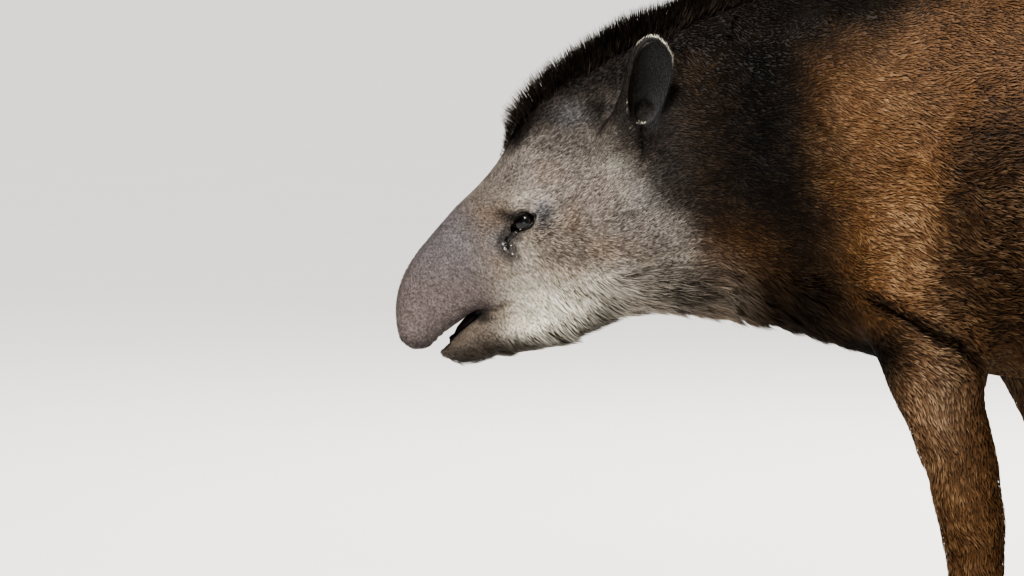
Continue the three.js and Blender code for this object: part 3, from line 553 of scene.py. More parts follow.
def nearEyesOrNose(c):
    gaps = [np.linalg.norm(c - np.array(eye["centre"]) * (1, side, 1), axis=1) for side in (1, -1)]
    nose = blob(folded(c), (-0.86, 0.014, 0.487), (0.03, 0.04, 0.04))
    return (np.minimum(*gaps) < 0.052) | (nose > 0.35)

def closeToLids(c):
    found = np.zeros(len(c), bool)
    for side in (-1, 1):
        gap, a, b, h = lidGap(c, side)
        found |= (h > 0.004) & (gap < 0.0085) & (np.hypot(a, b) < 0.03)
    tear = lineGap(c, tearLine)[0] < 0.009
    return found | (tear & (np.abs(c[:, 1]) > 0.04))

def makeSkin():
    obj = joinedSkin()
    mesh = obj.data
    print("skin joined", len(mesh.vertices))
    smoothSkin(mesh)
    pushIn(mesh)
    refine(mesh, nearFolds)
    bodyFolds(mesh)
    refine(mesh, nearEyesOrNose)
    refine(mesh, closeToLids)
    headFolds(mesh)
    mesh.shade_smooth()
    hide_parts(*flesh)
    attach(obj, "root")
    return obj

skinObject = makeSkin()
print("skin made", len(skinObject.data.polygons))

# markings, the same on skin and coat: pale, dark, grey and bare, each from 0 to 1
paleSpots = [  # strength, centre and reach
    (0.98, (-0.658, 0.07, 0.528), (0.078, 0.14, 0.044)),  # cheek
    (1.00, (-0.690, 0.05, 0.498), (0.056, 0.12, 0.030)),  # along the jaw
    (0.64, (-0.605, 0.08, 0.548), (0.050, 0.12, 0.038)),  # corner of the jaw
    (0.34, (-0.560, 0.08, 0.560), (0.060, 0.12, 0.045)),
    (0.20, (-0.702, 0.07, 0.600), (0.034, 0.08, 0.024)),  # below the eye
    (0.40, (-0.706, 0.08, 0.677), (0.026, 0.05, 0.015)),  # brow: painted highlight on its bulge
    (0.46, (-0.582, 0.10, 0.728), (0.018, 0.3, 0.020)),  # below the ear: pale hair with painted sheen
    (0.26, (-0.432, 0.10, 0.545), (0.030, 0.3, 0.028)),  # throat
]
darkSpots = [
    (1.00, (-0.611, 0.10, 0.800), (0.032, 0.3, 0.044)),  # round the ear's root
    (0.56, (-0.648, 0.10, 0.764), (0.056, 0.3, 0.044)),
    (0.95, (-0.586, 0.11, 0.838), (0.016, 0.06, 0.040)),
    (0.24, (-0.592, 0.10, 0.750), (0.026, 0.06, 0.026)),
    (0.62, (-0.602, 0.10, 0.788), (0.024, 0.07, 0.026)),
    (0.97, (-0.495, 0.12, 0.810), (0.034, 0.3, 0.085)),  # behind the ear: dark hair, and the ear's painted shadow on the neck
    (0.17, (-0.655, 0.09, 0.618), (0.045, 0.1, 0.026)),  # upper cheek
    (0.22, (-0.760, 0.05, 0.672), (0.044, 0.1, 0.060)),  # forehead
    (0.78, (-0.736, 0.06, 0.6560), (0.012, 0.04, 0.009)),  # before the eye: dark hair, with painted shade in the hollow
    (0.90, (-0.7260, 0.06, 0.6520), (0.014, 0.04, 0.012)),
    (0.74, (-0.6825, 0.08, 0.6525), (0.008, 0.04, 0.016)),  # behind the eye: painted shade in the crease
    (0.92, (-0.764, 0.05, 0.515), (0.024, 0.3, 0.013)),  # corner of the mouth: painted shadow
    (0.45, (-0.735, 0.03, 0.462), (0.070, 0.05, 0.008)),  # chin
    (0.42, (-0.500, 0.1, 0.542), (0.030, 0.3, 0.022)),  # throat: painted shadow below the jowl
    (0.95, (-0.358, 0.15, 0.74), (0.042, 0.3, 0.15)),  # hollow of the neck: dark hair, with painted shade in the hollow
]
cheekStreak = [(-0.590, 0.745), (-0.570, 0.700), (-0.530, 0.660), (-0.500, 0.600)]
shoulderSheenBand = [(-0.285, 0.800), (-0.243, 0.727), (-0.212, 0.666), (-0.214, 0.592)]
besideMane = {"share": [0.05, 0.114, 0.174, 0.25, 0.342, 0.442, 0.553, 0.682, 0.825, 0.95],
              "reach": [0.006, 0.027, 0.052, 0.066, 0.120, 0.130, 0.130, 0.125, 0.070, 0.030]}
neckBorder = {"z": [0.50, 0.55, 0.60, 0.645, 0.69, 0.74, 0.80],
              "x": [-0.405, -0.405, -0.430, -0.470, -0.535, -0.560, -0.600]}
jawEdge = {"x": [-0.794, -0.740, -0.700, -0.673, -0.646, -0.619, -0.592],
           "z": [0.468, 0.471, 0.475, 0.483, 0.492, 0.506, 0.526]}
frontOfForeleg = ((-1, 0.235), (1, 0.060))  # side of the body, and how far before the middle it stands; the front of the foreleg gets painted shade
# where painted light lifts the forearm below the fold, on each side
innerForearm = ((-1, -0.165), (1, 0.010))

def belowMouth(x, z):  # the lower jaw, up to the line of the lips
    return rise(0.490, 0.480, z - 0.69 * (x + 0.812))

def paleMarks(p, f):
    x, z = f[:, 0], f[:, 2]
    streak = lineGap(f, cheekStreak)[0] + 0.016 * (softNoise(p, 0.020, 39) - 0.5)
    pale = np.maximum(strongest(f, paleSpots), 0.15 * rise(0.040, 0.002, streak) * (f[:, 1] > 0.04))
    pale = np.maximum(pale, 0.16 * belowMouth(x, z) * rise(-0.74, -0.77, x) * (x > -0.836))
    return pale * (1 - 0.45 * blob(f, (-0.640, 0.08, 0.612), (0.045, 0.1, 0.022)))

def darkHead(p, f, wander):  # beside the mane, round ear and eye, along the jaw and on the chin
    x, y, z = f.T
    high, share, _ = aboveCrest(p)
    reach = np.interp(share, besideMane["share"], besideMane["reach"])
    fading = -high / reach + 0.35 * (softNoise(p, 0.03, 13) - 0.5)
    dark = 0.98 * rise(1.70, 0.42, fading) * rise(0.035, 0.09, share) * rise(1.0, 0.90, share)
    # lighter at the temple: painted sheen
    dark = dark * (1 - 0.42 * blob(f, (-0.655, 0.09, 0.794), (0.028, 0.1, 0.020)))
    dark = np.maximum(dark, strongest(f, darkSpots))
    # painted shade in the fold below the ear's notch
    gap, end = lineGap(f, notchFold)
    fold = rise(0.0085 - 0.0045 * end, 0.0030 - 0.0020 * end, gap) * rise(1.0, 0.75, end)
    dark = np.maximum(dark, fold * (y > 0.06))
    tear = lineGap(f, tearLine)[0] + 0.006 * (softNoise(f, 0.006, 19) - 0.5)
    dark = np.maximum(dark, 0.72 * rise(0.020, 0.006, tear) * (y > 0.04))
    # painted shadow along the jaw's lower edge, here and in the extra dark of the lower lip near that edge
    above = z - np.interp(x, jawEdge["x"], jawEdge["z"])
    underJaw = 0.74 * rise(0.032, 0.003, above + 0.4 * wander) * rise(-0.575, -0.610, x) * rise(0.60, 0.56, z)
    dark = np.maximum(dark, underJaw)
    lip = (0.50 + 0.12 * rise(0.030, 0.012, above)) * belowMouth(x, z) * rise(-0.722, -0.750, x)
    dark = np.maximum(dark, lip * (x > -0.836))
    upperLip = 0.10 * rise(-0.735, -0.775, x) * rise(0.515, 0.495, z + 0.55 * (x + 0.78)) * (z < 0.53)
    dark = np.maximum(dark, upperLip)
    # painted shade on the top of the trunk
    trunkTop = 0.22 * rise(-0.80, -0.86, x - 0.4 * (z - 0.55)) * rise(0.53, 0.58, z)
    return np.maximum(dark, trunkTop)

def darkNeck(f, wander):  # the neck's dark side, partly its own colour and partly painted shade in its hollow, and painted shade under the base of the throat
    x, z = f[:, 0], f[:, 2]
    border = np.interp(z, neckBorder["z"], neckBorder["x"])
    neck = rise(-0.070, 0.028, x - border - 0.6 * wander)
    neck = neck * rise(-0.245, -0.355, x - 0.9 * wander - 0.12 * (0.72 - z))
    depth = 0.88 + 0.12 * np.exp(-(((x + 0.395) / 0.060) ** 2)) * rise(0.60, 0.66, z)
    lighter = 1 - 0.60 * blob(f, (-0.420, 0.2, 0.60), (0.05, 0.3, 0.050))
    dark = depth * neck * lighter * (1 - 0.30 * rise(0.88, 0.92, z))
    # painted shade under the chest, at the base of the throat
    return np.maximum(dark, 0.90 * rise(-0.43, -0.38, x) * rise(-0.20, -0.34, x) * rise(0.575, 0.510, z))

def darkBody(p, f, wander):  # behind the shoulder, belly, arm fold and legs
    x, y, z = f.T
    leg = inLeg(p)
    strength = 0.20 + 0.42 * rise(0.40, 0.10, x)
    edge = x - 0.5 * wander + 0.018 * rise(0.72, 0.64, z)
    dark = strength * rise(-0.185, -0.125, edge) * rise(0.84, 0.74, z) * (1 - 0.45 * rise(0.56, 0.50, z))
    patches = rise(0.3, 0.6, softNoise(p, 0.05, 14))
    dark = np.maximum(dark, 0.55 * blob(f, (-0.150, 0.2, 0.62), (0.035, 0.3, 0.11)) * patches)
    belly = 0.60 * rise(0.62, 0.50, z) * rise(-0.20, -0.10, x) * (1 - leg)
    dark = np.maximum(dark, belly * rise(0.3, 0.7, softNoise(p, 0.04, 15)))
    # painted shade in the fold above the forearm
    folds = zip(lineGap(f, armFold["line"]), lineGap(f, armFoldRight))
    gap, end = (np.where(p[:, 1] < 0, left, right) for left, right in folds)
    fold = 0.90 * rise(0.012, 0.004, gap) * rise(0.0, 0.15, end) * rise(1.0, 0.9, end) * (y > 0.05)
    dark = np.maximum(dark, fold)
    # painted shade on the front of chest and foreleg
    front = 0
    for side, ahead in frontOfForeleg:
        front = front + rise(0.060, -0.015, x + ahead - 0.30 * (z - 0.45)) * (p[:, 1] * side > 0)
    dark = np.maximum(dark, front * rise(0.55, 0.48, z) * rise(-0.42, -0.36, x) * (x < 0.3))
    return np.maximum(dark, (0.06 + 0.58 * rise(0.36, 0.05, z)) * leg)

def greyMarks(p, f, wander, bare, jaw):  # the grey of the face fades into brown down the neck's front
    x, y, z = f.T
    head = inHead(p)
    edge = x + 0.500 + 0.10 * (z - 0.65) - 0.045 * rise(0.64, 0.58, z) - wander
    grey = np.maximum(head, rise(0.075, -0.060, edge) * rise(0.82, 0.74, z))
    # pinkish grey along the shoulder band: painted sheen
    band = lineGap(f, shoulderSheenBand)[0]
    grey = np.maximum(grey, 0.07 * rise(0.062, 0.012, band - 0.3 * wander) * (y > 0.04))
    grey = np.maximum(grey, 0.10 * rise(0.70, 0.80, z) * rise(-0.32, -0.22, x) * rise(0.25, 0.0, x))
    brownPatches = 0.34 * head * rise(0.40, 0.75, softNoise(p, 0.034, 40)) * (1 - bare)
    grey = grey * (1 - 0.50 * jaw) * (1 - brownPatches)
    # paler grey on the forearm: painted light where the fold above it throws shade
    for side, middle in innerForearm:
        arm = 0.26 * blob(f, (middle, 0.2, 0.43), (0.055, 0.3, 0.10))
        grey = np.maximum(grey, arm * (p[:, 1] * side > 0))
    return grey

def markings(p):
    f = folded(p)
    x, z = f[:, 0], f[:, 2]
    wander = (softNoise(p, 0.05, 11) - 0.5) * 0.030 + (softNoise(p, 0.018, 12) - 0.5) * 0.010
    dark = np.maximum(darkHead(p, f, wander), np.maximum(darkNeck(f, wander), darkBody(p, f, wander)))
    jaw = belowMouth(x, z) * rise(-0.70, -0.74, x) * (x > -0.836)
    bare = rise(-0.730, -0.800, x - 0.37 * (0.60 - z)) * inHead(p) * rise(0.78, 0.70, z) * (1 - 0.85 * jaw)
    # painted shade on the top of the trunk
    dark = np.maximum(dark, 0.13 * bare * rise(0.525, 0.575, z - 0.5 * (x + 0.80)))
    # bluish lavender on the brow: painted sheen
    bare = np.maximum(bare, 0.55 * blob(f, (-0.692, 0.07, 0.672), (0.020, 0.05, 0.013)))
    grey = greyMarks(p, f, wander, bare, jaw)
    return np.clip(columns(paleMarks(p, f), dark, grey, bare), 0, 1)

def sheenAndShade(p):  # painted highlights: golden bands over shoulder and forearm; painted shade on the top of the back and behind the shoulder
    f = folded(p)
    band = lineGap(f, shoulderSheenBand)[0] - 0.010 * (softNoise(p, 0.05, 11) - 0.5)
    shift = armFold["rightShift"] * (p[:, 1] > 0)
    arm = blob(f - columns(shift, 0, 0), (-0.165, 0.2, 0.43), (0.055, 0.3, 0.10))
    top = rise(0.70, 0.80, p[:, 2]) * rise(-0.26, -0.16, p[:, 0])
    gold = (0.13 * rise(0.060, 0.012, band) + 0.26 * arm) * (f[:, 1] > 0.04)
    return gold - 0.40 * top - 0.12 * rise(-0.17, -0.10, p[:, 0])

def dampness(p):  # where the coat was wetted, low on shoulder and ribs
    x, z = p[:, 0], p[:, 2]
    low = rise(-0.22, -0.10, x - 0.2 * (z - 0.6)) * rise(0.86, 0.66, z)
    return low * rise(0.55, 0.20, x) * (1 - inLeg(p))

# spots of bluish grey, partly the hair's own tint and partly painted sheen, most of all at the temple
coolAndSheenSpots = [
    (0.85, (-0.655, 0.09, 0.792), (0.034, 0.1, 0.026)),  # temple
    (0.75, (-0.684, 0.08, 0.660), (0.014, 0.05, 0.016)),  # behind the eye
    (0.60, (-0.740, 0.06, 0.622), (0.022, 0.05, 0.022)),  # before the eye
    (0.45, (-0.540, 0.12, 0.665), (0.050, 0.1, 0.070)),  # below the ear
]

def coolAndSheen(p, ear):  # bluish grey of temple, brow, upper face and the ear's inside: partly the hair's own tint, partly painted sky sheen on the upper faces and painted highlight at the back of the ear
    f = folded(p)
    x, z = f[:, 0], f[:, 2]
    head = inHead(p)
    cool = 0.20 * head * rise(0.62, 0.72, z + 0.25 * (x + 0.70))
    trunk = 0.36 * head * rise(-0.72, -0.80, x - 0.37 * (0.60 - z)) * rise(0.54, 0.62, z)
    cool = np.maximum(np.maximum(cool, trunk), strongest(f, coolAndSheenSpots))
    return cool * (1 - ear) + 0.9 * ear * rise(-0.566, -0.538, x)

def details(p, n):  # wet edges on the skin, and the dark that lies round them
    f = folded(p)
    wet, black = np.zeros(len(p)), np.zeros(len(p))
    for side in (-1, 1):
        gap, a, b, h = lidGap(p, side)
        near = (h > 0.002) * (np.hypot(a, b) < 0.03)
        gap = gap + 0.0030 * rise(0.6, 1.05, a / eye["half"])
        wet = np.maximum(wet, near * rise(0.0030, 0.0006, gap))
        lash = gap + 0.0016 * (softNoise(p, 0.004, 16) - 0.5)
        black = np.maximum(black, near * rise(0.0078, 0.0030, lash))
    gap, share = lineGap(p, tearLine)
    tear = gap + 0.0032 * (softNoise(p, 0.0034, 17) - 0.5) + 0.0016 * rise(0.75, 1.0, share)
    deep = (f[:, 1] > 0.04)
    drops = rise(0.36, 0.54, softNoise(p, 0.0028, 18))
    wet = np.maximum(wet, rise(0.0090, 0.0055, tear) * deep * drops)
    black = np.maximum(black, rise(0.0034, 0.0014, tear) * deep)
    beside = lineGap(p, tearSide)[0] + 0.0020 * (softNoise(p, 0.0030, 20) - 0.5)
    black = np.maximum(black, 0.9 * rise(0.0026, 0.0010, beside) * deep)
    # painted shade: the nostril and the gap between the lips are painted black
    fromNostril = (f - (-0.872, 0.013, 0.4765)) * (1, 1.25, 0.8)
    nostril = rise(0.0120, 0.0085, np.linalg.norm(fromNostril, axis=1))
    mouth = rise(0.0085, 0.0045, lineGap(p, mouthLine)[0]) * rise(0.030, 0.022, f[:, 1]) * (p[:, 0] < -0.735)
    outwards = n[:, 1] * np.sign(p[:, 1]) > 0.1
    cup = rise(1.25, 0.85, cupGap(f)) * (f[:, 1] > 0.06) * outwards
    black = np.maximum(black, np.maximum(np.maximum(nostril, mouth), 0.30 * cup))
    return np.maximum(np.maximum(wet, 0.6 * nostril), 0.5 * mouth), black

def notchZone(p):
    return (np.hypot(p[:, 0] + 0.557, p[:, 2] - 0.777) < 0.018) * (np.abs(p[:, 1]) > 0.06)

notchRim = [(-0.5580, 0.7815), (-0.5530, 0.7800), (-0.5470, 0.7805)]
frontRim = [(-0.5715, 0.8100), (-0.5705, 0.7860), (-0.5650, 0.7690)]

def earRim(p, n):  # 1 at the white edge of the ear: round its top and back, and a speck at the notch
    f = folded(p)
    x, y, z = f.T
    facing = unit(np.array((-0.30, 0.95, -0.12)))
    edgeOn = rise(0.70, 0.35, np.abs((n * columns(1, np.sign(p[:, 1]), 1)) @ facing))
    outline = rise(0.80, 0.92, np.hypot((x + 0.541) / 0.031, (z - 0.832) / 0.064))
    upper = 0.30 * rise(0.812, 0.842, z + 1.9 * (x + 0.541))
    upper = upper + 0.70 * rise(0.862, 0.880, z + 0.5 * (x + 0.541))
    notch = 0.85 * rise(0.0016, 0.0006, lineGap(f, notchRim)[0]) * (y > 0.06)
    specks = rise(0.35, 0.60, softNoise(f, 0.0050, 38))
    notch = notch + 0.65 * rise(0.0017, 0.0007, lineGap(f, frontRim)[0]) * (y > 0.06) * specks
    return np.clip(np.maximum(edgeOn * upper * outline, notch), 0, 1)

def storeColours(mesh, name, values):
    layer = mesh.attributes.new(name, "FLOAT_COLOR", "POINT")
    layer.data.foreach_set("color", np.ascontiguousarray(values, dtype=np.float32).ravel())

# lie of the coat
def lieOf(p, n):
    x, _, z = p.T
    side = np.sign(p[:, 1])
    head, leg, ear = (share[:, None] for share in (inHead(p), inLeg(p), inEar(p)))
    drop = -0.22 - 0.5 * rise(0.75, 0.45, z) * rise(-0.1, 0.1, x) - 0.9 * rise(0.45, 0.75, x)
    lie = columns(1, 0.06 * side, drop)
    throat = rise(0.60, 0.50, z) * rise(-0.20, -0.35, x)
    lie = lie + columns(-0.1 * throat, 0, -0.55 * throat)
    climb = 0.95 * rise(0.58, 0.72, z + 0.55 * (x + 0.70)) - 0.18
    belowCheek = rise(0.475, 0.510, z - 0.25 * (x + 0.66))
    climb = climb - 0.85 * belowCheek * rise(0.67, 0.60, z) * rise(-0.53, -0.62, x)
    lie = lie + (columns(1, 0.10 * side, climb) - lie) * head
    lie = lie + (columns(0.18 + 0.3 * np.sin(9 * z + 2 * x), 0.05 * side, -1) - lie) * leg
    lie = lie + (columns(0.10, 0.25 * side, 1) - lie) * ear
    # waves of the damp coat
    swirl = softSway(p, 0.030, (21, 22, 23))
    broad = softSway(p, 0.11, (24, 25, 26))
    calm = (1 - 0.65 * head) * (1 - 0.5 * ear)
    lie = unit(lie) + (swirl + broad * 0.8) * calm
    lie = lie - n * (lie * n).sum(1, keepdims=True)
    return unit(lie)

# tufts: five triangles each, a ridge down the middle, root sunk in the skin
tuft = {"faces": [(0, 1, 3), (0, 3, 2), (1, 4, 3), (2, 3, 5), (3, 4, 5)], "tips": [0, 0, 0.5, 0.6, 0.5, 1.0],
        "patch": [(-0.0015, -0.0015), (0.0015, -0.0015), (-0.0012, 0), (0, 0), (0.0012, 0), (0, 0.0015)],
        "sink": 0.0006}

def scatter(mesh, density, seed):
    mesh.calc_loop_triangles()
    count = len(mesh.loop_triangles)
    corners = np.empty(count * 3, dtype=np.int32)
    mesh.loop_triangles.foreach_get("vertices", corners)
    corners = corners.reshape(-1, 3)
    p, n = pointsOf(mesh), normalsOf(mesh)
    a, b, c = (p[corners[:, k]] for k in range(3))
    area = np.linalg.norm(np.cross(b - a, c - a), axis=1) / 2
    random = np.random.default_rng(seed)
    wanted = area * density((a + b + c) / 3, unit(n[corners].mean(1)))
    number = np.floor(wanted + random.random(count)).astype(int)
    which = np.repeat(np.arange(count), number)
    u, v = random.random((2, len(which)))
    over = u + v > 1
    u, v = np.where(over, 1 - u, u), np.where(over, 1 - v, v)
    shares = ((0, 1 - u - v), (1, u), (2, v))
    def between(values):
        return sum(values[corners[which, k]] * share[:, None] for k, share in shares)
    return between(p), unit(between(n))

def tuftPatches(roots, unwrap, index):  # each tuft is a small patch at its root's place on the unwrapped skin
    place = unwrap(roots)
    low, high = place.min(0), place.max(0)
    place = 0.01 + 0.98 * (place - low) / (high - low)
    return place[index // 6] + np.array(tuft["patch"])[index % 6]

def tuftPiece(name, roots, normals, lie, length, width, lift, unwrap,
              sink=tuft["sink"], droop=0, tone=None, marks=None, cool=0):
    count = len(roots)
    side = np.cross(normals, lie)
    length, width, lift = (np.broadcast_to(v, count)[:, None] for v in (length, width, lift))
    middle = roots + lie * length * 0.48 + normals * (length * lift * 0.62)
    tip = roots + lie * length + normals * (length * lift) + droop
    verts = np.stack([
        roots - side * width * 0.5 - normals * sink,
        roots + side * width * 0.5 - normals * sink,
        middle - side * width * 0.46,
        middle + normals * width * 0.34,
        middle + side * width * 0.46,
        tip,
    ], 1)
    verts = np.clip(verts, np.array(cadLow) + (0, 0, 0.0004), np.array(cadHigh))
    index = (np.arange(count)[:, None, None] * 6 + np.array(tuft["faces"])[None]).reshape(-1)
    mesh = bpy.data.meshes.new(name)
    mesh.vertices.add(count * 6)
    mesh.vertices.foreach_set("co", verts.reshape(-1))
    mesh.loops.add(len(index))
    mesh.loops.foreach_set("vertex_index", index.astype(np.int32))
    mesh.polygons.add(count * 5)
    mesh.polygons.foreach_set("loop_start", np.arange(0, len(index), 3, dtype=np.int32))
    mesh.update(calc_edges=True)
    mesh.shade_smooth()
    layer = mesh.uv_layers.new(name="OFBake")
    layer.data.foreach_set("uv", tuftPatches(roots, unwrap, index).reshape(-1))
    marks = markings(roots) if marks is None else marks
    storeColours(mesh, "marks", np.repeat(marks, 6, axis=0))
    tone = np.random.default_rng(count).random(count) if tone is None else tone
    strand = np.repeat(columns(tone, 0, softNoise(roots, 0.011, 31), cool)[:, None], 6, axis=1)
    strand[:, :, 1] = tuft["tips"]
    storeColours(mesh, "strand", strand.reshape(-1, 4))
    obj = addObject(name, mesh)
    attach(obj, "root")
    return obj

# the unwraps of the skin that the patches lie on
def aroundBody(p):
    centre = np.interp(p[:, 0], [-0.55, -0.3, 0.0, 0.5, 0.9], [0.70, 0.72, 0.71, 0.72, 0.74])
    return columns(p[:, 0], np.arctan2(p[:, 1], -(p[:, 2] - centre)))

def aroundHead(p):
    along = (p[:, 0] + 0.86) * 0.62 + (p[:, 2] - 0.47) * 0.55
    axis = 0.49 + (p[:, 0] + 0.86) * 0.62
    return columns(along, np.arctan2(p[:, 1], -(p[:, 2] - axis)))

def aroundLegs(p):
    left = p[:, 1] < 0
    middle = np.where(p[:, 0] < 0.3, np.where(left, -0.16, 0.03), np.where(left, 0.66, 0.59))
    turn = np.arctan2(p[:, 1] - np.where(left, -0.13, 0.13), p[:, 0] - middle)
    return columns(turn + np.where(left, 0, 7), p[:, 2])

def alongCrest(p):
    return columns(aboveCrest(p)[1], p[:, 1])

def roundEars(p):
    turn = np.arctan2(np.abs(p[:, 1]) - 0.10, p[:, 0] + 0.55)
    return columns(turn + np.where(p[:, 1] < 0, 0, 7), p[:, 2])

# coat: tufts for each square metre, and their lengths
coat = {
    "finest": 255e3, "face": 188e3, "neck": 172e3, "front": 112e3, "rear": 36e3, "leg": 70e3, "foot": 120e3,
    "lengthFace": 0.0054, "lengthNeck": 0.0085, "lengthFront": 0.0115, "lengthRear": 0.0185,
    "lengthLeg": 0.0130, "lengthFoot": 0.0065, "lengthEar": 0.0045, "clump": 0.0075,
    "neckEnd": -0.30, "shoulderEnd": -0.06, "ribsEnd": 0.33, "betweenLegs": 0.3,
}

def clumped(roots, lie, normals, size, amount, length, seed):  # tips lean together in small damp locks
    cell = np.floor(roots / size + softNoise(roots, size * 4, seed)[:, None]).astype(int)
    key = (cell[:, 0] * 73856093) ^ (cell[:, 1] * 19349663) ^ (cell[:, 2] * 83492791)
    order, inverse = np.unique(key, return_inverse=True)
    total = np.stack([np.bincount(inverse, roots[:, k]) for k in range(3)], 1)
    centre = (total / np.bincount(inverse)[:, None])[inverse]
    reach = lie * length[:, None]
    pull = (centre + reach - (roots + reach)) * amount[:, None]
    pull = pull - normals * (pull * normals).sum(1, keepdims=True)
    pull = np.where(np.linalg.norm(pull, axis=1, keepdims=True) > 1.2 * size, 0, pull)
    return pull, np.random.default_rng(seed).random(len(order))[inverse]

def ripple(p):  # height of the small damp waves of the coat, 0 in the lines between them, which the coat's tone paints dark as shade
    bent = p * (0.44, 1, 1) + 0.0030 * (softNoise(p, 0.014, 36) - 0.5)[:, None]
    first = np.abs(softNoise(bent, 0.0062, 33) - 0.5) * 2
    second = np.abs(softNoise(bent + 0.5, 0.0054, 37) - 0.5) * 2
    return rise(0.0, 0.30, first) * (0.55 + 0.45 * rise(0.0, 0.30, second))

def bodyDensity(c, n):
    value = np.interp(c[:, 0], [-0.32, -0.08, 0.25], [coat["neck"], coat["front"], coat["rear"]])
    face = coat["face"] + (coat["finest"] - coat["face"]) * rise(-0.66, -0.78, c[:, 0])
    value = value + (face - value) * inHead(c)
    lower = coat["leg"] + (coat["foot"] - coat["leg"]) * rise(0.20, 0.08, c[:, 2])
    value = value + (lower - value) * inLeg(c)
    value = value * (1 - 0.3 * inEar(c))
    wet, black = details(c, n)
    outsideCup = np.abs(c[:, 0] + 0.5480) > 0.03
    value = value * (1 - rise(0.3, 0.8, np.maximum(wet, black * outsideCup)))
    value = value * rise(0.0060, 0.0100, lineGap(c, tearLine)[0] + 0.05 * (np.abs(c[:, 1]) < 0.04))
    sole = (c[:, 2] < 0.012) | ((n[:, 2] < -0.8) & (c[:, 2] < 0.03))
    return value * ~sole

def hangingHair(roots, normals):  # the longer hair under jaw and throat, and the few hairs of the chin
    x, z, down = roots[:, 0], roots[:, 2], normals[:, 2]
    under = rise(0.62, 0.56, z) * rise(-0.32, -0.72, down) * rise(-0.745, -0.66, x) * rise(-0.20, -0.34, x)
    chin = rise(0.3, 0.6, softNoise(roots, 0.010, 46)) * rise(-0.20, -0.70, down)
    chin = chin * rise(-0.822, -0.800, x) * rise(-0.715, -0.735, x) * (z < 0.50)
    return under, chin

def coatLength(roots, head, leg, ear, under, chin, rim):
    x, z = roots[:, 0], roots[:, 2]
    stops = [coat["lengthNeck"], coat["lengthNeck"] * 1.15, coat["lengthFront"], coat["lengthRear"]]
    length = np.interp(x, [-0.42, -0.22, -0.06, 0.25], stops)
    length = length * (1 - 0.22 * rise(0.75, 0.95, z))
    face = coat["lengthFace"] * (1.25 - 0.55 * rise(-0.66, -0.80, x))
    length = length + (face - length) * head
    foot = rise(0.20, 0.08, z)
    length = length + (coat["lengthLeg"] + (coat["lengthFoot"] - coat["lengthLeg"]) * foot - length) * leg
    length = length + (coat["lengthEar"] - length) * ear
    width = length * (0.175 + 0.045 * rise(-0.15, 0.25, x) - 0.015 * head)
    ragged = rise(0.35, 0.75, softNoise(roots, 0.016, 45))
    length = length + (0.007 + 0.012 * ragged) * under + 0.006 * chin
    length = (length + 0.002 * rim * (z > 0.81)) * (1 - 0.35 * rim * (z < 0.81))
    return length, width

def coatTone(roots, head, ear, marks, wetted, height, clumpTone, chance):
    # light and dark hairs lie in specks on the face; on the body they lie in short streaks that follow the
    # damp waves, with painted highlight on the crests and painted shade in the lines between, and the painted
    # sheen and shade of shoulder and forearm added
    specks = softNoise(roots * (0.70, 1, 0.85), 0.0023, 32)
    streaks = 0.17 + 0.58 * height + 0.6 * sheenAndShade(roots)
    mottle = specks + (0.80 * streaks + 0.20 * clumpTone - specks) * (1 - head)
    blotch = 0.6 * softNoise(roots, 0.012, 34) + 0.4 * softNoise(roots, 0.030, 35) - 0.5
    share = 0.24 + 0.30 * head
    tone = (1 - share) * mottle + share * chance - 0.5
    contrast = (1.25 + 0.85 * head + 0.65 * wetted) * (1 - 0.85 * ear)
    blotchShare = 0.55 * head * (1 - marks[:, 3]) - 0.06 * head
    return np.clip(0.5 + contrast * tone - 0.05 * wetted + blotchShare * blotch - 0.05 * head, 0, 1)

def coatPieces(roots, head, leg, ear):  # name, unwrap, slot and the tufts that belong to each piece
    x, left = roots[:, 0], roots[:, 1] < 0
    sides = (("", left), ("_right", ~left))
    face = (head > 0.5) & (ear < 0.3)
    body = (head <= 0.5) & (leg < 0.5)
    limbs = (head <= 0.5) & (leg >= 0.5)
    pieces = [("coat_face" + end, aroundHead, "head_coat", face & half) for end, half in sides]
    pieces.append(("coat_ears", roundEars, "dark_coat", (head > 0.5) & (ear >= 0.3)))
    start = x.min()
    for name in ("neck", "shoulder", "ribs"):
        stop = coat[name + "End"]
        span = body & (x >= start) & (x < stop)
        pieces += [("coat_" + name + end, aroundBody, "body_coat", span & half) for end, half in sides]
        start = stop
    pieces.append(("coat_rump", aroundBody, "body_coat", body & (x >= start)))
    pieces.append(("coat_forelegs", aroundLegs, "leg_coat", limbs & (x < coat["betweenLegs"])))
    pieces.append(("coat_hindlegs", aroundLegs, "leg_coat", limbs & (x >= coat["betweenLegs"])))
    return pieces

